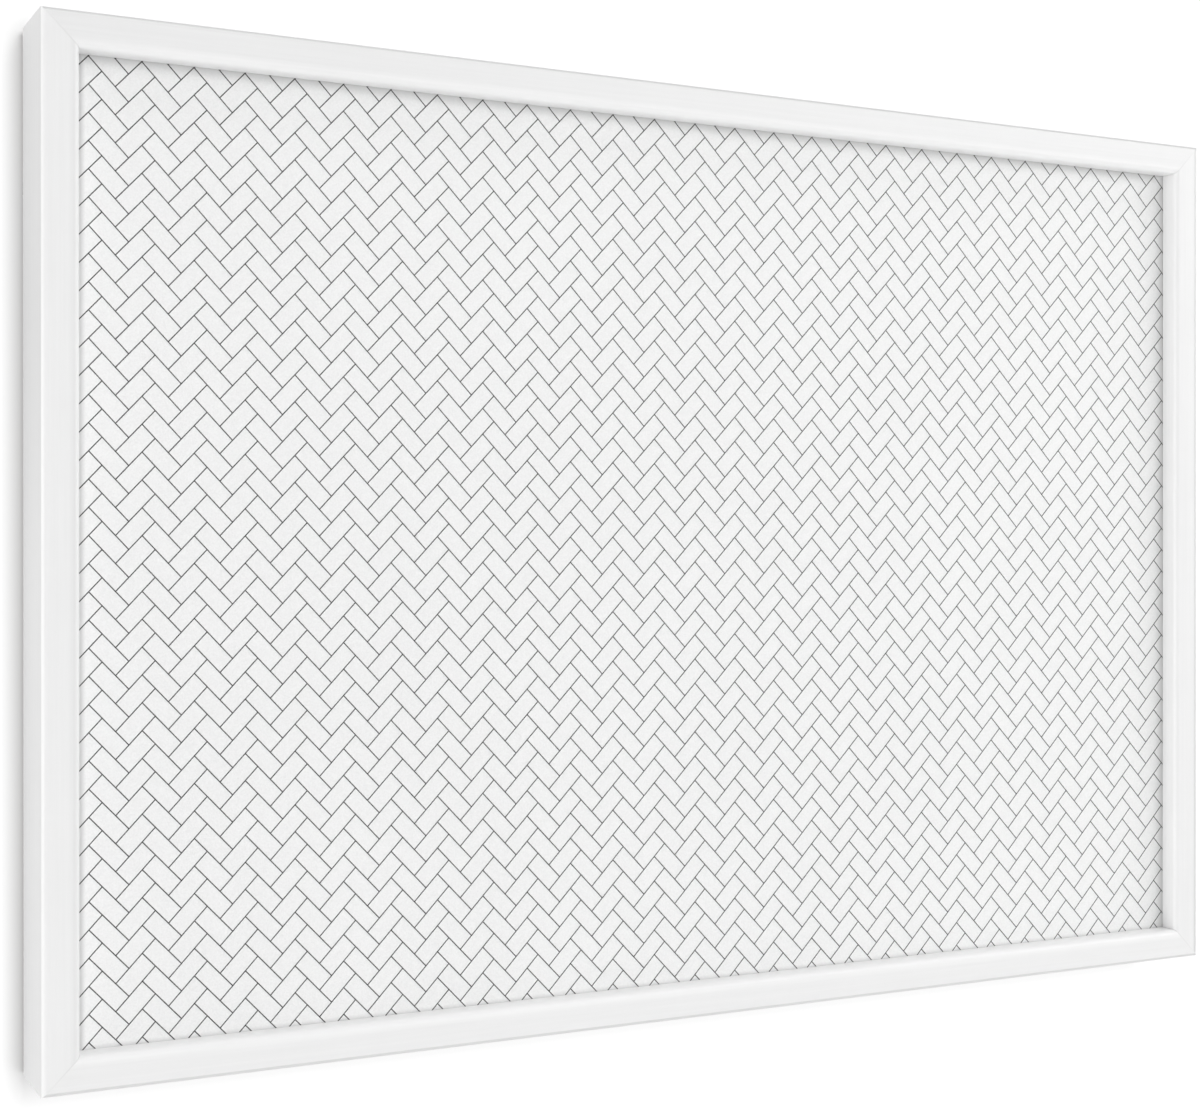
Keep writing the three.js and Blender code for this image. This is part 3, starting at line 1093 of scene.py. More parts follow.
@dataclass
class Herringbone:
    """The printed lines: 2 to 1 bricks laid at 45 degrees, as thin ribbons of ink on the film.

    Attributes:
        envelope: The board's sizes.
        first_zigzag: The X and Z of the pattern's first corner.
        step_across: Half the width of one zigzag.
        step_down: How far one zigzag lies below the last.
        line_width: The lines' width, and ink their thickness.
        cover: How far the print runs on under the lips.
        columns: The zigzags across, and rows those down.
        shortest: The shortest share of a line piece that is worth a bar.
    """

    envelope: Envelope
    first_zigzag: tuple[float, float] = (-326.15 * MM, 232.22 * MM)
    step_across: float = 12.529 * MM
    step_down: float = 13.191 * MM
    line_width: float = 0.55 * MM
    ink: float = 0.02 * MM
    cover: float = 3 * MM
    columns: range = range(-2, 29)
    rows: range = range(-3, 39)
    shortest: float = 1e-3

    def segments(self) -> tuple[np.ndarray, np.ndarray, np.ndarray]:
        """The line pieces: for each cell at (2i, j) one falls by (1.5, 1.5) and one crosses it the other way.

        Returns:
            Starts and ends in X and Z, and the direction of the lines that each piece meets at its ends.
        """
        i, j = np.meshgrid(np.array(self.columns), np.array(self.rows), indexing="ij")
        cell = np.stack((2 * i, j), axis=-1).reshape(-1, 2).astype(float)
        starts = np.vstack((cell, cell + (0.5, -0.5)))
        ends = np.vstack((cell + (1.5, 1.5), cell + (-1.0, 1.0)))
        crossing = np.repeat([[-1.0, 1.0], [1.0, 1.0]], len(cell), axis=0)
        scale = np.array([self.step_across, -self.step_down])
        origin = np.array(self.first_zigzag)
        return origin + starts * scale, origin + ends * scale, crossing * scale

    def clipped(self, starts: np.ndarray, ends: np.ndarray) -> tuple[np.ndarray, np.ndarray]:
        """Where each piece enters and leaves the printed area, as shares of its length.

        Args:
            starts: Rows of X and Z.
            ends: Rows of X and Z.

        Returns:
            The entering and the leaving share of each piece.
        """
        limit = np.array(self.envelope.opening) + self.cover
        run = ends - starts
        one, other = (-limit - starts) / run, (limit - starts) / run
        enter = np.maximum(np.minimum(one, other).max(axis=1), 0)
        leave = np.minimum(np.maximum(one, other).min(axis=1), 1)
        return enter, leave

    def bars(self) -> np.ndarray:
        """The outlines of the line pieces, whose ends butt against the lines that they meet.

        An end is drawn back by half a width over the sine of the angle between the two lines, and its two
        corners are moved along by half a width times that angle's cotangent, one each way. An end at the
        edge of the print is cut square.

        Returns:
            An array of bars, four corners, and X and Z.
        """
        starts, ends, crossing = self.segments()
        enter, leave = self.clipped(starts, ends)
        keep = leave - enter > self.shortest
        starts, ends, crossing = starts[keep], ends[keep], crossing[keep]
        enter, leave = enter[keep][:, None], leave[keep][:, None]
        run = ends - starts
        length = np.linalg.norm(run, axis=1, keepdims=True)
        ahead = run / length
        square = np.column_stack((-ahead[:, 1], ahead[:, 0]))
        crossing = crossing / np.linalg.norm(crossing, axis=1, keepdims=True)
        sine = np.abs(ahead[:, :1] * crossing[:, 1:] - ahead[:, 1:] * crossing[:, :1])
        cosine = (ahead * crossing).sum(axis=1, keepdims=True)
        turn = np.sign(square[:, :1] * crossing[:, :1] + square[:, 1:] * crossing[:, 1:])
        half = self.line_width / 2
        back_off = half / sine
        skew = half * cosine / sine * turn
        first = starts + ahead * np.where(enter > 0, enter * length, back_off)
        last = starts + ahead * np.where(leave < 1, leave * length, length - back_off)
        skew_first, skew_last = np.where(enter > 0, 0, skew), np.where(leave < 1, 0, skew)
        return np.stack((
            first + square * half + ahead * skew_first,
            first - square * half - ahead * skew_first,
            last - square * half - ahead * skew_last,
            last + square * half + ahead * skew_last,
        ), axis=1)

    def build(self) -> None:
        """Makes all the lines as one piece, each a flat bar that stands proud of the film by the ink."""
        plan = self.bars()
        levels = [np.full((len(plan), 4, 1), self.envelope.film_front - rise) for rise in (self.ink, 0)]
        corners = [np.concatenate((plan[..., :1], level, plan[..., 1:]), axis=2) for level in levels]
        sides = np.array([[0, 1, 2, 3], [7, 6, 5, 4], [0, 4, 5, 1], [1, 5, 6, 2], [2, 6, 7, 3], [3, 7, 4, 0]])
        faces = (8 * np.arange(len(plan)))[:, None, None] + sides
        shell = Shell(np.concatenate(corners, axis=1).reshape(-1, 3), faces.reshape(-1, 4))
        piece = shell.piece("herringbone_lines", [PrintInk().material()])
        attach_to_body(piece, "frame")
        LOG.info("%s: %d line pieces", piece.name, len(plan))


@dataclass
class Screw:
    """A pan-head wood screw: a pointed, threaded shank and a domed head with a cross recess.

    Attributes:
        head: The head's radius.
        head_height: Its height, of which head_side is straight.
        head_arris: The bevel under it.
        crown: The radius where its dome ends, and crown_flat that of the flat on top.
        length: The shank's length, of which tip is pointed and plain has no thread.
        crest: The thread's outer radius, and root its inner one.
        thread_flank: How steep the thread is.
        plain_ridge: The share of the thread's height that the plain part has.
        point: The share of the radius that is left at the tip.
        recess: The cross's reach, half its width, and its depth.
        recess_taper: How much smaller the cross is at its bottom.
    """

    head: float = 2.6 * MM
    head_height: float = 1.5 * MM
    head_side: float = 0.55 * MM
    head_arris: float = 0.12 * MM
    crown: float = 1.35 * MM
    crown_flat: float = 0.3 * MM
    crown_steps: int = 8
    length: float = 14 * MM
    tip: float = 3.5 * MM
    plain: float = 1.4 * MM
    crest: float = 1.2 * MM
    root: float = 0.85 * MM
    pitch: float = 1.3 * MM
    thread_flank: float = 3
    plain_ridge: float = 0.6
    point: float = 0.04
    recess: tuple[float, float, float] = (1.5 * MM, 0.34 * MM, 0.95 * MM)
    recess_taper: float = 0.55
    sides: int = 32
    rows_per_turn: int = 8

    def shank(self) -> np.ndarray:
        """The shank: its radius goes from root to crest and back once a turn, and closes at the tip.

        Returns:
            An array of rings, points and coordinates.
        """
        height = np.linspace(-self.length, 0, int(self.length / self.pitch * self.rows_per_turn))[:, None]
        angle = np.linspace(0, 2 * math.pi, self.sides, endpoint=False)
        turn = (height / self.pitch - angle / (2 * math.pi)) % 1.0
        ridge = np.clip(1 - np.abs(turn - 0.5) * self.thread_flank, 0, 1)
        ridge = np.where(height > -self.plain, self.plain_ridge, ridge)
        radius = self.root + (self.crest - self.root) * ridge
        radius = radius * np.clip((height + self.length) / self.tip, self.point, 1)
        return spun(radius, height, self.sides)

    def dome(self) -> np.ndarray:
        """The head: a flat underside, a short side, then a quarter ellipse up to the crown.

        Returns:
            An array of rings, points and coordinates.
        """
        rise = np.radians(np.linspace(0, 90, self.crown_steps + 1))
        ellipse = np.column_stack((
            self.crown + (self.head - self.crown) * np.cos(rise),
            self.head_side + (self.head_height - self.head_side) * np.sin(rise),
        ))
        under = [[self.crest, 0], [self.head - self.head_arris, 0], [self.head, self.head_arris]]
        profile = np.vstack((under, ellipse, [[self.crown_flat, self.head_height]]))
        return spun(profile[:, 0, None], profile[:, 1, None], self.sides)

    def cross(self, turn: float, centre: np.ndarray, material: Material) -> Piece:
        """The form of the cross recess.

        Args:
            turn: Which way it stands, in degrees.
            centre: The middle of the head's underside.
            material: The metal inside it.

        Returns:
            A closed form that overruns the head.
        """
        reach, half, depth = self.recess
        plan = np.array([
            [reach, -half], [reach, half], [half, half], [half, reach], [-half, reach], [-half, half],
            [-reach, half], [-reach, -half], [-half, -half], [-half, -reach], [half, -reach], [half, -half],
        ])
        angle = math.radians(turn)
        spin = np.array([[math.cos(angle), math.sin(angle)], [-math.sin(angle), math.cos(angle)]])
        heights = (self.head_height - depth, self.head_height, self.head_height + depth)
        return prism(plan @ spin, heights, (self.recess_taper, 1, 1), centre).piece("recess", [material])

    def build(self, node: str, turn: float, material: Material) -> None:
        """Makes the screw that stands for a node.

        Args:
            node: The screw's node.
            turn: Which way its recess stands, in degrees.
            material: Its metal.
        """
        centre = middle(node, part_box(node)[1].y - self.head_height)
        screw = tube(np.concatenate((self.shank(), self.dome())) + centre).piece(node + "_turned", [material])
        attach(cut_out(screw, [self.cross(turn, centre, material)]), node)


@dataclass
class TurnButton:
    """A stamped turn button: a tapered tongue with a pivot hole and a tip that bends up off the board.

    Attributes:
        end: The radius of its end round the hole, and tip that of its far end.
        reach: How far the far end lies from the hole's middle.
        hole: The hole's radius.
        sheet: Its thickness, and edge the radius of its upper edges.
        bend_run: How far from the far end the bend starts, and bend_length how long it is.
        lift: How far the far end is bent up.
        dense: How many steps each round end is measured in.
        sides: How many points go round, rows how many rings its top has, and edge_steps an edge's steps.
    """

    end: float = 4 * MM
    tip: float = 2.8 * MM
    reach: float = 18 * MM
    hole: float = 1.5 * MM
    sheet: float = 1 * MM
    edge: float = 0.22 * MM
    bend_run: float = 4.6 * MM
    bend_length: float = 1.4 * MM
    lift: float = 0.7 * MM
    dense: int = 200
    sides: int = 96
    rows: int = 16
    edge_steps: int = 3

    def outline(self) -> np.ndarray:
        """Two round ends of unlike radius and the straight lines between them, at even steps of length.

        Returns:
            Rows of across and along.
        """
        far = self.reach - self.tip
        near_end = arc((0, 0), self.end, 180, 360, self.dense)
        far_end = arc((0, far), self.tip, 0, 180, self.dense)
        dense = np.vstack((near_end, far_end, near_end[:1]))
        run = np.concatenate(([0], np.cumsum(np.linalg.norm(np.diff(dense, axis=0), axis=1))))
        place = np.linspace(0, run[-1], self.sides, endpoint=False)
        return np.column_stack([np.interp(place, run, dense[:, axis]) for axis in (0, 1)])

    def raised(self, along: np.ndarray) -> np.ndarray:
        """How far the tongue is bent up: nothing at first, then a short parabola, then a straight slope.

        Args:
            along: How far places lie from the hole's middle.

        Returns:
            The rise of each place.
        """
        past = np.clip(along - (self.reach - self.bend_run), 0, None)
        slope = self.lift / (self.bend_run - self.bend_length / 2)
        bent = past**2 / (2 * self.bend_length)
        return slope * np.where(past < self.bend_length, bent, past - self.bend_length / 2)

    def rings(self) -> np.ndarray:
        """Closed rings of the sheet: over the top from the hole to the rim, round its edge, and back below.

        Each ring is a share of the way from the hole's circle to the rim. The upper edges are quarter arcs.

        Returns:
            An array of rings, points and coordinates.
        """
        rim = self.outline()
        angle = np.arctan2(rim[:, 1], rim[:, 0])
        bore = self.hole * np.column_stack((np.cos(angle), np.sin(angle)))
        gap = np.linalg.norm(rim - bore, axis=1)[None, :]
        quarter = np.radians(np.linspace(90, 0, self.edge_steps + 1))[:, None]
        drop = self.edge * (1 - np.sin(quarter)) + 0 * gap
        inner = self.edge - self.edge * np.cos(quarter)[::-1] + 0 * gap
        flat = self.edge + np.linspace(0, 1, self.rows)[1:-1, None] * (gap - 2 * self.edge)
        outer = gap - self.edge + self.edge * np.cos(quarter)
        top = np.concatenate((inner, flat, outer))
        level = np.concatenate((drop[::-1], 0 * flat, drop))
        share = np.concatenate((top, top[::-1])) / gap
        height = np.concatenate((self.sheet - level, level[::-1]))
        plan = bore + share[..., None] * (rim - bore)
        return np.stack((plan[..., 0], height + self.raised(plan[..., 1]), plan[..., 1]), axis=-1)

    def build(self, side: Side, place: str, material: Material) -> None:
        """Makes the button that stands for a node.

        Args:
            side: The side that it is fastened to.
            place: Its place's name.
            material: Its metal.
        """
        node = f"turn_button_{place}"
        pivot = joint_place(f"turn_{place}")
        pivot[1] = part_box(node)[0].y
        rings = self.rings()
        points = side.placed(rings.reshape(-1, 3)) + pivot
        faces = grid_faces(*rings.shape[:2], loop_rows=True, loop_columns=True)
        attach(Shell(points, faces).outward().piece(f"{node}_stamped", [material]), node)


@dataclass
class Hanger:
    """A D-ring hanger: one strap folded round the ring's bar, and a ring of round wire.

    Attributes:
        envelope: The board's sizes.
        sheet: The strap's thickness, and edge the radius of its edges.
        half_width: Half the strap's width, and the radius of its round ends.
        length: How far its lower leaf reaches from the bar, and shorter how much less the upper one does.
        leaf_row: Where each leaf has one more row between its end and the fold.
        throat: The radius with which the fold closes again, and leaf_gap the gap between the leaves.
        hole: The screw holes' radius.
        wire: The ring's wire radius, and wire_end the share of it at the wire's two ends.
        ring_width: How wide the ring is outside.
        ring_arm: How far its bow reaches from its bar.
        ring_corner: The radius of its two corners.
        ring_gap: The gap between the wire's ends, and seat_gap that between its bow and the land.
    """

    envelope: Envelope
    sheet: float = 0.8 * MM
    half_width: float = 3.5 * MM
    length: float = 26 * MM
    shorter: float = 0.6 * MM
    leaf_row: float = -12 * MM
    edge: float = 0.14 * MM
    throat: float = 0.8 * MM
    leaf_gap: float = 0.03 * MM
    hole: float = 1.5 * MM
    hole_sides: int = 32
    end_steps: int = 13
    fold_steps: int = 30
    throat_steps: int = 8
    edge_steps: int = 3
    wire: float = 1.0 * MM
    wire_end: float = 0.8
    wire_sides: int = 20
    ring_width: float = 12.6 * MM
    ring_arm: float = 11 * MM
    ring_corner: float = 1.5 * MM
    ring_gap: float = 0.5 * MM
    seat_gap: float = 0.3 * MM
    bar_steps: int = 7
    corner_steps: int = 10
    bow_steps: int = 44
    sharp: float = 20.0

    def fold(self, loop_height: float) -> tuple[np.ndarray, np.ndarray]:
        """The strap's middle line, side on: out along the land, round the bar, down a throat and back.

        Its width grows from each end as the sine of an angle does, while its length falls by the cosine.

        Args:
            loop_height: How far the bar lies off the land.

        Returns:
            Rows of height and distance off the land, and half the strap's width at each row.
        """
        radius = loop_height - self.sheet / 2
        over_level = 1.5 * self.sheet + self.leaf_gap
        rise = over_level + self.throat - loop_height
        reach = radius + self.throat
        back = -math.sqrt(reach**2 - rise**2)
        touch = math.degrees(math.asin(rise / reach))
        angle = np.radians(np.linspace(1, 90, self.end_steps + 1))
        round_end = self.half_width * (1 - np.cos(angle))
        under = np.concatenate((round_end - self.length, [self.leaf_row, 0]))
        over = np.concatenate(([back, self.leaf_row], (round_end - self.length + self.shorter)[::-1]))
        route = np.vstack((
            np.column_stack((under, np.full(len(under), self.sheet / 2))),
            arc((0, loop_height), radius, -90, 180 - touch, self.fold_steps)[1:],
            arc((back, over_level + self.throat), self.throat, -touch, -90, self.throat_steps)[1:-1],
            np.column_stack((over, np.full(len(over), over_level))),
        ))
        width = np.full(len(route), self.half_width)
        width[: len(angle)] = self.half_width * np.sin(angle)
        width[-len(angle):] = width[: len(angle)][::-1]
        return route, width

    def strap(self, side: Side, bar: np.ndarray, material: Material) -> None:
        """The folded strap: a flat section with eased edges, square to the fold line at every row.

        Args:
            side: The side that it is screwed to.
            bar: The middle of the ring's bar.
            material: Its metal.
        """
        node = f"hanger_strap_{side.label}"
        land = self.envelope.back_land
        route, width = self.fold(bar[1] - land)
        ahead = heading(route)
        normal = np.column_stack((-ahead[:, 1], ahead[:, 0]))
        section = rounded((self.half_width, self.sheet / 2), self.edge, self.edge_steps)
        across = section[:, 0] * (width / self.half_width)[:, None]
        off = section[:, 1]
        up = route[:, :1] + off * normal[:, :1]
        out = route[:, 1:] + off * normal[:, 1:]
        points = np.stack((across, out, up), axis=-1) + (bar[0], land, bar[2])
        strap = tube(points).piece(f"{node}_folded", [material], self.sharp)
        profile = np.array([[self.hole, -self.sheet], [self.hole, 4 * self.sheet]])
        cutters = []
        for place in ("upper", "lower"):
            centre = middle(f"strap_screw_{side.label}_{place}", land)
            centre[0] = bar[0]
            cutters.append(lathe(profile, self.hole_sides, centre).piece("strap_hole", [material]))
        attach(cut_out(strap, cutters, self.sharp), node)

    def wire_route(self) -> np.ndarray:
        """The middle of the wire: half the bar, a corner, a half circle, a corner and half the bar.

        Returns:
            Rows of across and up.
        """
        half, bend = self.ring_width / 2 - self.wire, self.ring_corner
        straight = np.linspace(self.ring_gap / 2, half - bend, self.bar_steps + 1)[:-1]
        return np.vstack((
            np.column_stack((straight, 0 * straight)),
            arc((half - bend, bend), bend, -90, 0, self.corner_steps),
            arc((0, self.ring_arm - half), half, 0, 180, self.bow_steps),
            arc((bend - half, bend), bend, 180, 270, self.corner_steps),
            np.column_stack((-straight[::-1], 0 * straight)),
        ))

    def ring(self, side: Side, bar: np.ndarray, material: Material) -> None:
        """The D-ring: round wire along its route, leaning until it all but meets the land.

        Args:
            side: The side that its strap is screwed to.
            bar: The middle of its bar.
            material: Its metal.
        """
        node = f"d_ring_{side.label}"
        route = self.wire_route()
        ahead = heading(route)
        angle = np.linspace(0, 2 * math.pi, self.wire_sides, endpoint=False)
        radius = np.full((len(route), 1), self.wire)
        radius[[0, -1]] = self.wire_end * self.wire
        out, off = radius * np.cos(angle), radius * np.sin(angle)
        across = route[:, :1] + out * ahead[:, 1:]
        up = route[:, 1:] - out * ahead[:, :1]
        lean = math.asin((bar[1] - self.envelope.back_land - self.wire - self.seat_gap) / self.ring_arm)
        depth = off * math.cos(lean) - up * math.sin(lean)
        height = up * math.cos(lean) + off * math.sin(lean)
        ring = tube(np.stack((across, depth, height), axis=-1) + bar)
        attach(ring.piece(f"{node}_wire", [material]), node)

    def build(self, zinc: Material, steel: Material) -> None:
        """Makes both hangers.

        Args:
            zinc: The straps' metal.
            steel: The rings' metal.
        """
        for side in (Side.LEFT, Side.RIGHT):
            bar = joint_place(f"swing_{side.label}")
            self.strap(side, bar, zinc)
            self.ring(side, bar, steel)


@dataclass
class WallBumper:
    """A soft round bumper: straight sides, a rounded outer edge and a face that is a little hollow.

    Attributes:
        radius: The radius at its foot, which is wider than the rest by foot.
        height: How far it stands off the rail.
        edge: The radius of its outer edge.
        foot_slope: How high the foot ends, in multiples of foot.
        hollow: How deep the hollow of its face is.
        pip: The share of the face's radius where its flat middle starts.
    """

    radius: float = 5 * MM
    height: float = 5 * MM
    edge: float = 1.1 * MM
    foot: float = 0.15 * MM
    foot_slope: float = 2.5
    hollow: float = 0.12 * MM
    pip: float = 0.02
    steps: int = 8
    sides: int = 48

    def build(self, node: str, material: Material) -> None:
        """Makes the bumper: the hollow's depth grows as one less the square of the share of its radius.

        Args:
            node: The node that it stands for.
            material: Its rubber.
        """
        rim = self.radius - self.foot
        edge = arc((rim - self.edge, self.height - self.edge), self.edge, 0, 90, self.steps)
        share = np.linspace(1, self.pip, self.steps)[1:]
        face = np.column_stack((share * (rim - self.edge), self.height - self.hollow * (1 - share**2)))
        side = [[self.radius, 0], [self.radius, self.foot], [rim, self.foot_slope * self.foot]]
        bumper = lathe(np.vstack((side, edge, face)), self.sides, middle(node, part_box(node)[0].y))
        attach(bumper.piece(f"{node}_moulded", [material]), node)


@dataclass
class BackBoard:
    """The thin board that closes the back, sawn square with its arrises eased."""

    arris: float = 0.35 * MM
    corner: float = 0.8 * MM
    sharp: float = 20.0

    def build(self, material: Material) -> None:
        """Makes the board: four rings of a rounded rectangle, drawn in at the first and the last.

        Args:
            material: Its finish.
        """
        low, high = (np.array(corner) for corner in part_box("back_board"))
        half = (high - low)[[0, 2]] / 2
        levels = (low[1], low[1] + self.arris, high[1] - self.arris, high[1])
        rings = []
        for level, inset in zip(levels, (self.arris, 0, 0, self.arris)):
            plan = rounded(tuple(half - inset), self.corner)
            rings.append(np.column_stack((plan[:, 0], np.full(len(plan), level), plan[:, 1])))
        board = tube(np.array(rings)).piece("back_board_sawn", [material], self.sharp)
        attach(board, "back_board")


@dataclass
class Fittings:
    """What closes the back and hangs the board, and the hidden pieces that keep their CAD shape.

    Attributes:
        envelope: The board's sizes.
        turn_step: How much further each screw's recess is turned than the last one's, in degrees.
    """

    envelope: Envelope
    turn_step: float = 47.0

    def hidden(self, steel: Material) -> None:
        """Gives the nodes that keep their own shape a finish.

        Args:
            steel: The nails' metal.
        """
        zinc_sheet = Metal("zinc_sheet", (196, 200, 203), (176, 181, 185), 0.3, 0.46, bloom=9 * MM).material()
        core = PressedFibre("fibreboard", (196, 164, 122), (168, 134, 92), 0.8).material()
        pine = {grain: Wood("softwood", grain).material() for grain in (Grain.ALONG_X, Grain.ALONG_Z)}
        film = PrintedFilm(self.envelope.opening).material()
        chosen = {"printed_film": film, "steel_sheet": zinc_sheet, "core_board": core}
        chosen |= {f"spacer_{side.label}": pine[side.grain] for side in Side}
        chosen |= {name: steel for name in nodes_named("v_nail")}
        for name, material in chosen.items():
            slots = frame["nodes"][name].data.materials
            slots.clear()
            slots.append(material)
            LOG.info("%s: finished in %s", name, material.name)

    def build(self) -> None:
        """Makes every fitting."""
        zinc = Metal("zinc_plate", (208, 210, 209), (186, 190, 192), 0.22, 0.4).material()
        steel = Metal("bright_steel", (205, 206, 206), (182, 184, 186), 0.2, 0.34).material()
        rubber = SoftRubber().material()
        self.hidden(steel)
        BackBoard().build(PressedFibre("hardboard", (150, 112, 78), (118, 84, 55), 0.55).material())
        Hanger(self.envelope).build(zinc, steel)
        for number, node in enumerate(nodes_named("button_screw_", "strap_screw_")):
            Screw().build(node, number * self.turn_step, steel)
        for side in Side:
            for node in nodes_named(f"turn_button_{side.label}"):
                TurnButton().build(side, node.removeprefix("turn_button_"), zinc)
        for node in nodes_named("wall_bumper"):
            WallBumper().build(node, rubber)


@dataclass(frozen=True)
class Lamp:
    """A soft lamp far off, aimed at the middle of the board.

    Attributes:
        name: Its name.
        azimuth: Its bearing in degrees: 0 is in front and 90 to the right.
        elevation: Its height above the horizon in degrees.
        light: The share of a white surface's full brightness that it gives one that faces it.
        spread: Half the angle that it fills across and up, in degrees.
        reach: What it lights.
        distance: How far off it stands.
    """

    name: str
    azimuth: float
    elevation: float
    light: float
    spread: tuple[float, float]
    reach: Reach = Reach.BOARD
    distance: float = 10.0

    def build(self) -> None:
        """Makes the lamp, whose watts are its light times the square of pi times its distance."""
        bearing, rise = math.radians(self.azimuth), math.radians(self.elevation)
        level = math.cos(rise)
        toward = Vector((math.sin(bearing) * level, -math.cos(bearing) * level, math.sin(rise)))
        data = bpy.data.lights.new(self.name, "AREA")
        data.shape = "RECTANGLE"
        data.size, data.size_y = (2 * self.distance * math.tan(math.radians(half)) for half in self.spread)
        data.energy = self.light * math.pi**2 * self.distance**2
        lamp = bpy.data.objects.new(self.name, data)
        lamp.location = toward * self.distance
        lamp.rotation_mode = "QUATERNION"
        lamp.rotation_quaternion = toward.to_track_quat("Z", "Y")
        lamp.visible_camera = False
        bpy.context.scene.collection.objects.link(lamp)
        receivers = bpy.data.collections.new(f"{self.name}_receivers")
        lamp.light_linking.receiver_collection = receivers
        state, names = self.reach.value
        for number, name in enumerate(names):
            receivers.objects.link(bpy.data.objects[name])
            receivers.collection_objects[number].light_linking.link_state = state


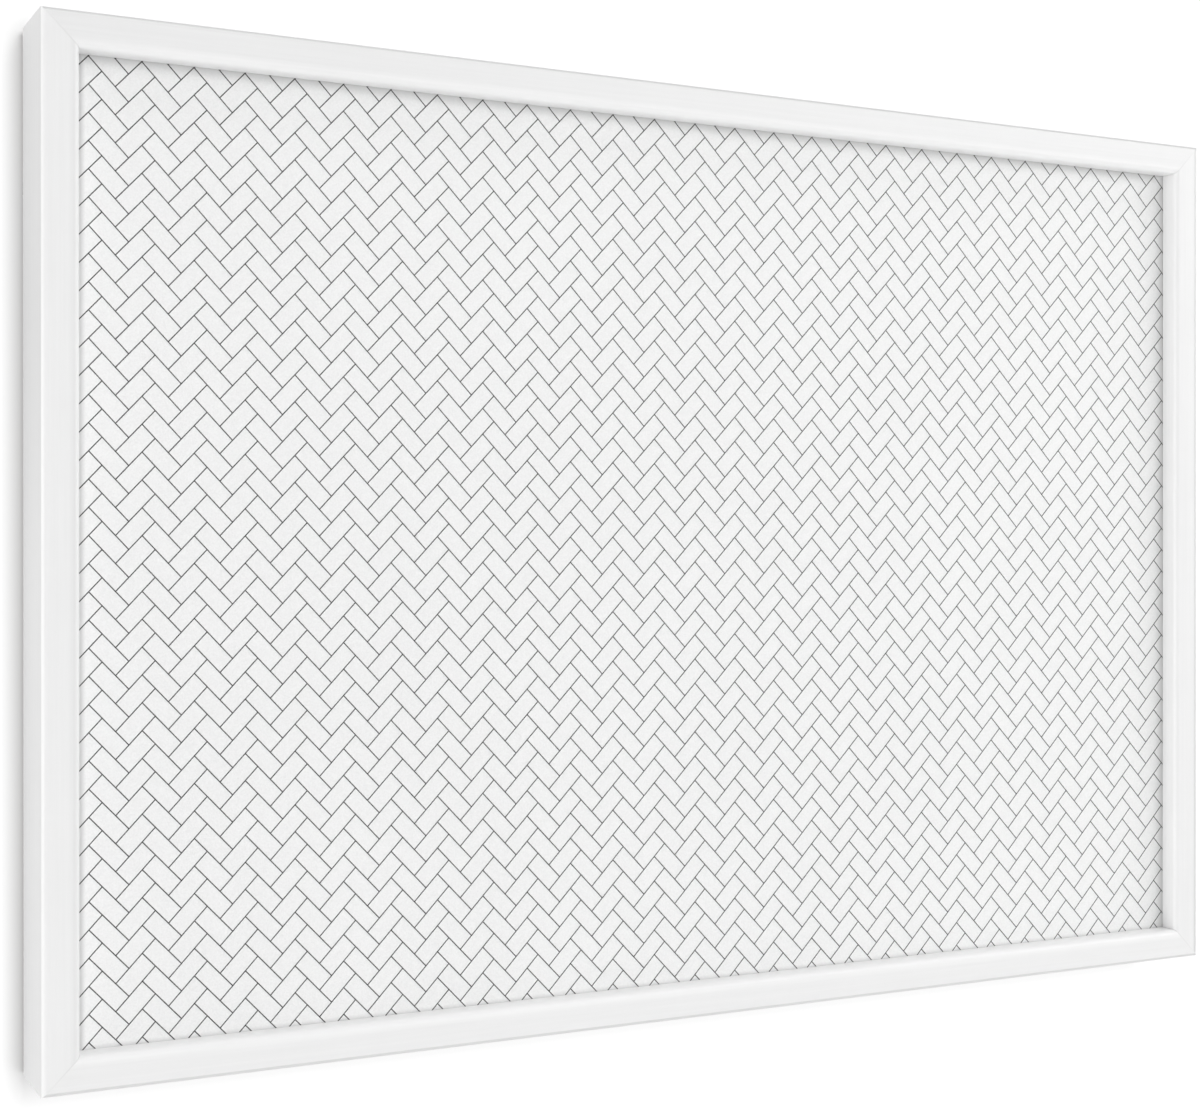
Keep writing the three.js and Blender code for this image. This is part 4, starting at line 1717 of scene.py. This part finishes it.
@dataclass
class Studio:
    """A white wall behind the board, a pale floor, soft lamps and the camera.

    Attributes:
        envelope: The board's sizes.
        wall_y: Where the board's back ends, which the wall clears by wall_gap.
        wall_half: How far the wall reaches to each side and up.
        hole_inset: How far inside the board's outline the wall's opening behind it starts.
        floor_z: The floor's height, and floor_half how far it reaches.
        floor_fade: Where the floor starts to fade into the backdrop and where it ends, and floor_glow its
            own light there.
        floor_tone: The floor's tone.
        ambient: The world's light.
        wall_glow: The wall's own light to the camera, and wall_back what its back gives the floor.
        wall_tone: The share of its lamps' light that it throws back.
        lens: The camera's focal length, in millimetres, on a sensor of sensor_width.
        eye: Where the camera stands.
        yaw: How far it is turned to the right, and pitch how far up, in degrees.
        lamps: The lamps.
    """

    envelope: Envelope
    wall_y: float
    wall_gap: float = 0.2 * MM
    wall_half: float = 1.6
    hole_inset: float = 12 * MM
    floor_z: float = -0.45
    floor_half: float = 6.0
    floor_glow: tuple[float, float] = (0.06, 0.5)
    floor_fade: tuple[float, float] = (1.2, 4.5)
    floor_tone: float = 238
    ambient: float = 0.42
    wall_glow: float = 0.45
    wall_back: float = 0.6
    wall_tone: float = 0.08
    lens: float = 58.632
    sensor_width: float = 36
    eye: tuple[float, float, float] = (-525.206 * MM, -936.580 * MM, 1.243 * MM)
    yaw: float = 26.8264
    pitch: float = -0.1381
    lamps: tuple[Lamp, ...] = (
        Lamp("wall_lamp", 8.3, 6.0, 3.68, (3.8, 18), Reach.WALL, distance=40),
        Lamp("wall_fill", 1.0, 6.0, 4.05, (3.5, 18), Reach.WALL, distance=40),
        Lamp("top_lamp", 20, 70, 0.21, (12, 12)),
        Lamp("key_lamp", 44, 24, 0.25, (12, 12)),
        Lamp("right_lamp", 70, 10, 0.21, (12, 12)),
        Lamp("film_lamp", 0, 5, 0.095, (12, 12), Reach.FILM),
        Lamp("low_lamp", 0, -55, 0.145, (12, 12), Reach.RAILS),
        Lamp("low_left_lamp", -60, -30, 0.09, (12, 12), Reach.RAILS),
        Lamp("left_lamp", -80, 0, 0.44, (12, 12), Reach.RAILS),
        Lamp("back_lamp", 180, 25, 0.55, (20, 14)),
    )

    def wall(self) -> None:
        """The wall that the board hangs on, open behind the board, and seen and felt from the front alone."""
        half, low = self.wall_half, self.floor_z
        wide, high = (size - self.hole_inset for size in self.envelope.half)
        outer = [[-half, low], [half, low], [half, half], [-half, half]]
        inner = [[-wide, -high], [wide, -high], [wide, high], [-wide, high]]
        plan = np.array(outer + inner)
        points = np.column_stack((plan[:, 0], np.full(len(plan), self.wall_y + self.wall_gap), plan[:, 1]))
        faces = np.array([[0, 1, 5, 4], [1, 2, 6, 5], [2, 3, 7, 6], [3, 0, 4, 7]])
        wall = Shell(points, faces).piece("studio_wall", [self.wall_material()])
        wall.visible_shadow = False
        wall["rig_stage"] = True

    def wall_material(self) -> Material:
        """White wall, clear from behind: part of its white is its own to the camera, the rest is its lamps'.

        From behind it sends the floor as much light as its lit front does.

        Returns:
            The material.
        """
        recipe = Recipe("studio_wall")
        lit = recipe.node("BsdfDiffuse", {"Color": (self.wall_tone,) * 3 + (1,)})
        glow = recipe.node("Emission", {"Strength": recipe.maths("MULTIPLY", recipe.seen(), self.wall_glow)})
        both = recipe.node("AddShader", {0: lit, 1: glow})
        bounced = recipe.node("LightPath", {}, outlet=Ray.DIFFUSE.value)
        back = recipe.node("Emission", {"Strength": self.wall_back})
        back = recipe.node("MixShader", {0: bounced, 1: recipe.node("BsdfTransparent", {}), 2: back})
        behind = recipe.node("NewGeometry", {}, outlet="Backfacing")
        mix = recipe.node("MixShader", {0: behind, 1: both, 2: back})
        recipe.fill(recipe.tree.nodes["Material Output"].inputs["Surface"], mix)
        return recipe.material

    def floor(self) -> None:
        """The pale floor under the board, which fades into the white of the backdrop with its distance."""
        half = self.floor_half
        plan = np.array([[-half, -half], [half, -half], [half, half], [-half, half]])
        points = np.column_stack((plan, np.full(len(plan), self.floor_z)))
        recipe = Recipe("studio_floor")
        away = recipe.node("VectorMath", {0: recipe.place}, outlet="Value", operation="LENGTH")
        fade = recipe.spread(away, *self.floor_glow, *self.floor_fade)
        glow = recipe.maths("MULTIPLY", recipe.seen(), fade)
        material = recipe.finish(Base_Color=shade(self.floor_tone), Roughness=0.8, Specular_IOR_Level=0.0,
                                 Emission_Color=(1, 1, 1, 1), Emission_Strength=glow)
        floor = Shell(points, np.array([[0, 1, 2, 3]])).piece("studio_floor", [material])
        floor.visible_shadow = False
        floor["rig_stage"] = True

    def world(self) -> None:
        """Even light from all round, white to the camera and in reflections."""
        world = bpy.data.worlds.new("studio")
        bpy.context.scene.world = world
        world.use_nodes = True
        graph = Graph(world.node_tree)
        background = graph.tree.nodes["Background"]
        background.inputs["Color"].default_value = (1, 1, 1, 1)
        level = graph.node("MapRange", {"Value": graph.seen(), "To Min": self.ambient})
        graph.fill(background.inputs["Strength"], level)

    def camera(self) -> None:
        """The photograph's view: left of the board, level with its middle."""
        data = bpy.data.cameras.new("camera")
        data.sensor_width = self.sensor_width
        data.lens = self.lens
        camera = bpy.data.objects.new("camera", data)
        camera.location = self.eye
        camera.rotation_euler = (math.radians(90 + self.pitch), 0, math.radians(-self.yaw))
        bpy.context.scene.collection.objects.link(camera)
        bpy.context.scene.camera = camera

    def build(self) -> None:
        """Sets up the whole studio."""
        self.camera()
        self.wall()
        self.floor()
        self.world()
        for lamp in self.lamps:
            lamp.build()
        bpy.context.scene.view_settings.view_transform = "Standard"


def main() -> None:
    """Builds the dressed board and its studio."""
    logging.basicConfig(level=logging.INFO, format="%(name)s: %(message)s")
    cad_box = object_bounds()
    envelope = Envelope.read()
    Mouldings(envelope).build()
    Herringbone(envelope).build()
    Fittings(envelope).build()
    Studio(envelope, wall_y=cad_box[1].y).build()


if __name__ == "__main__":
    main()
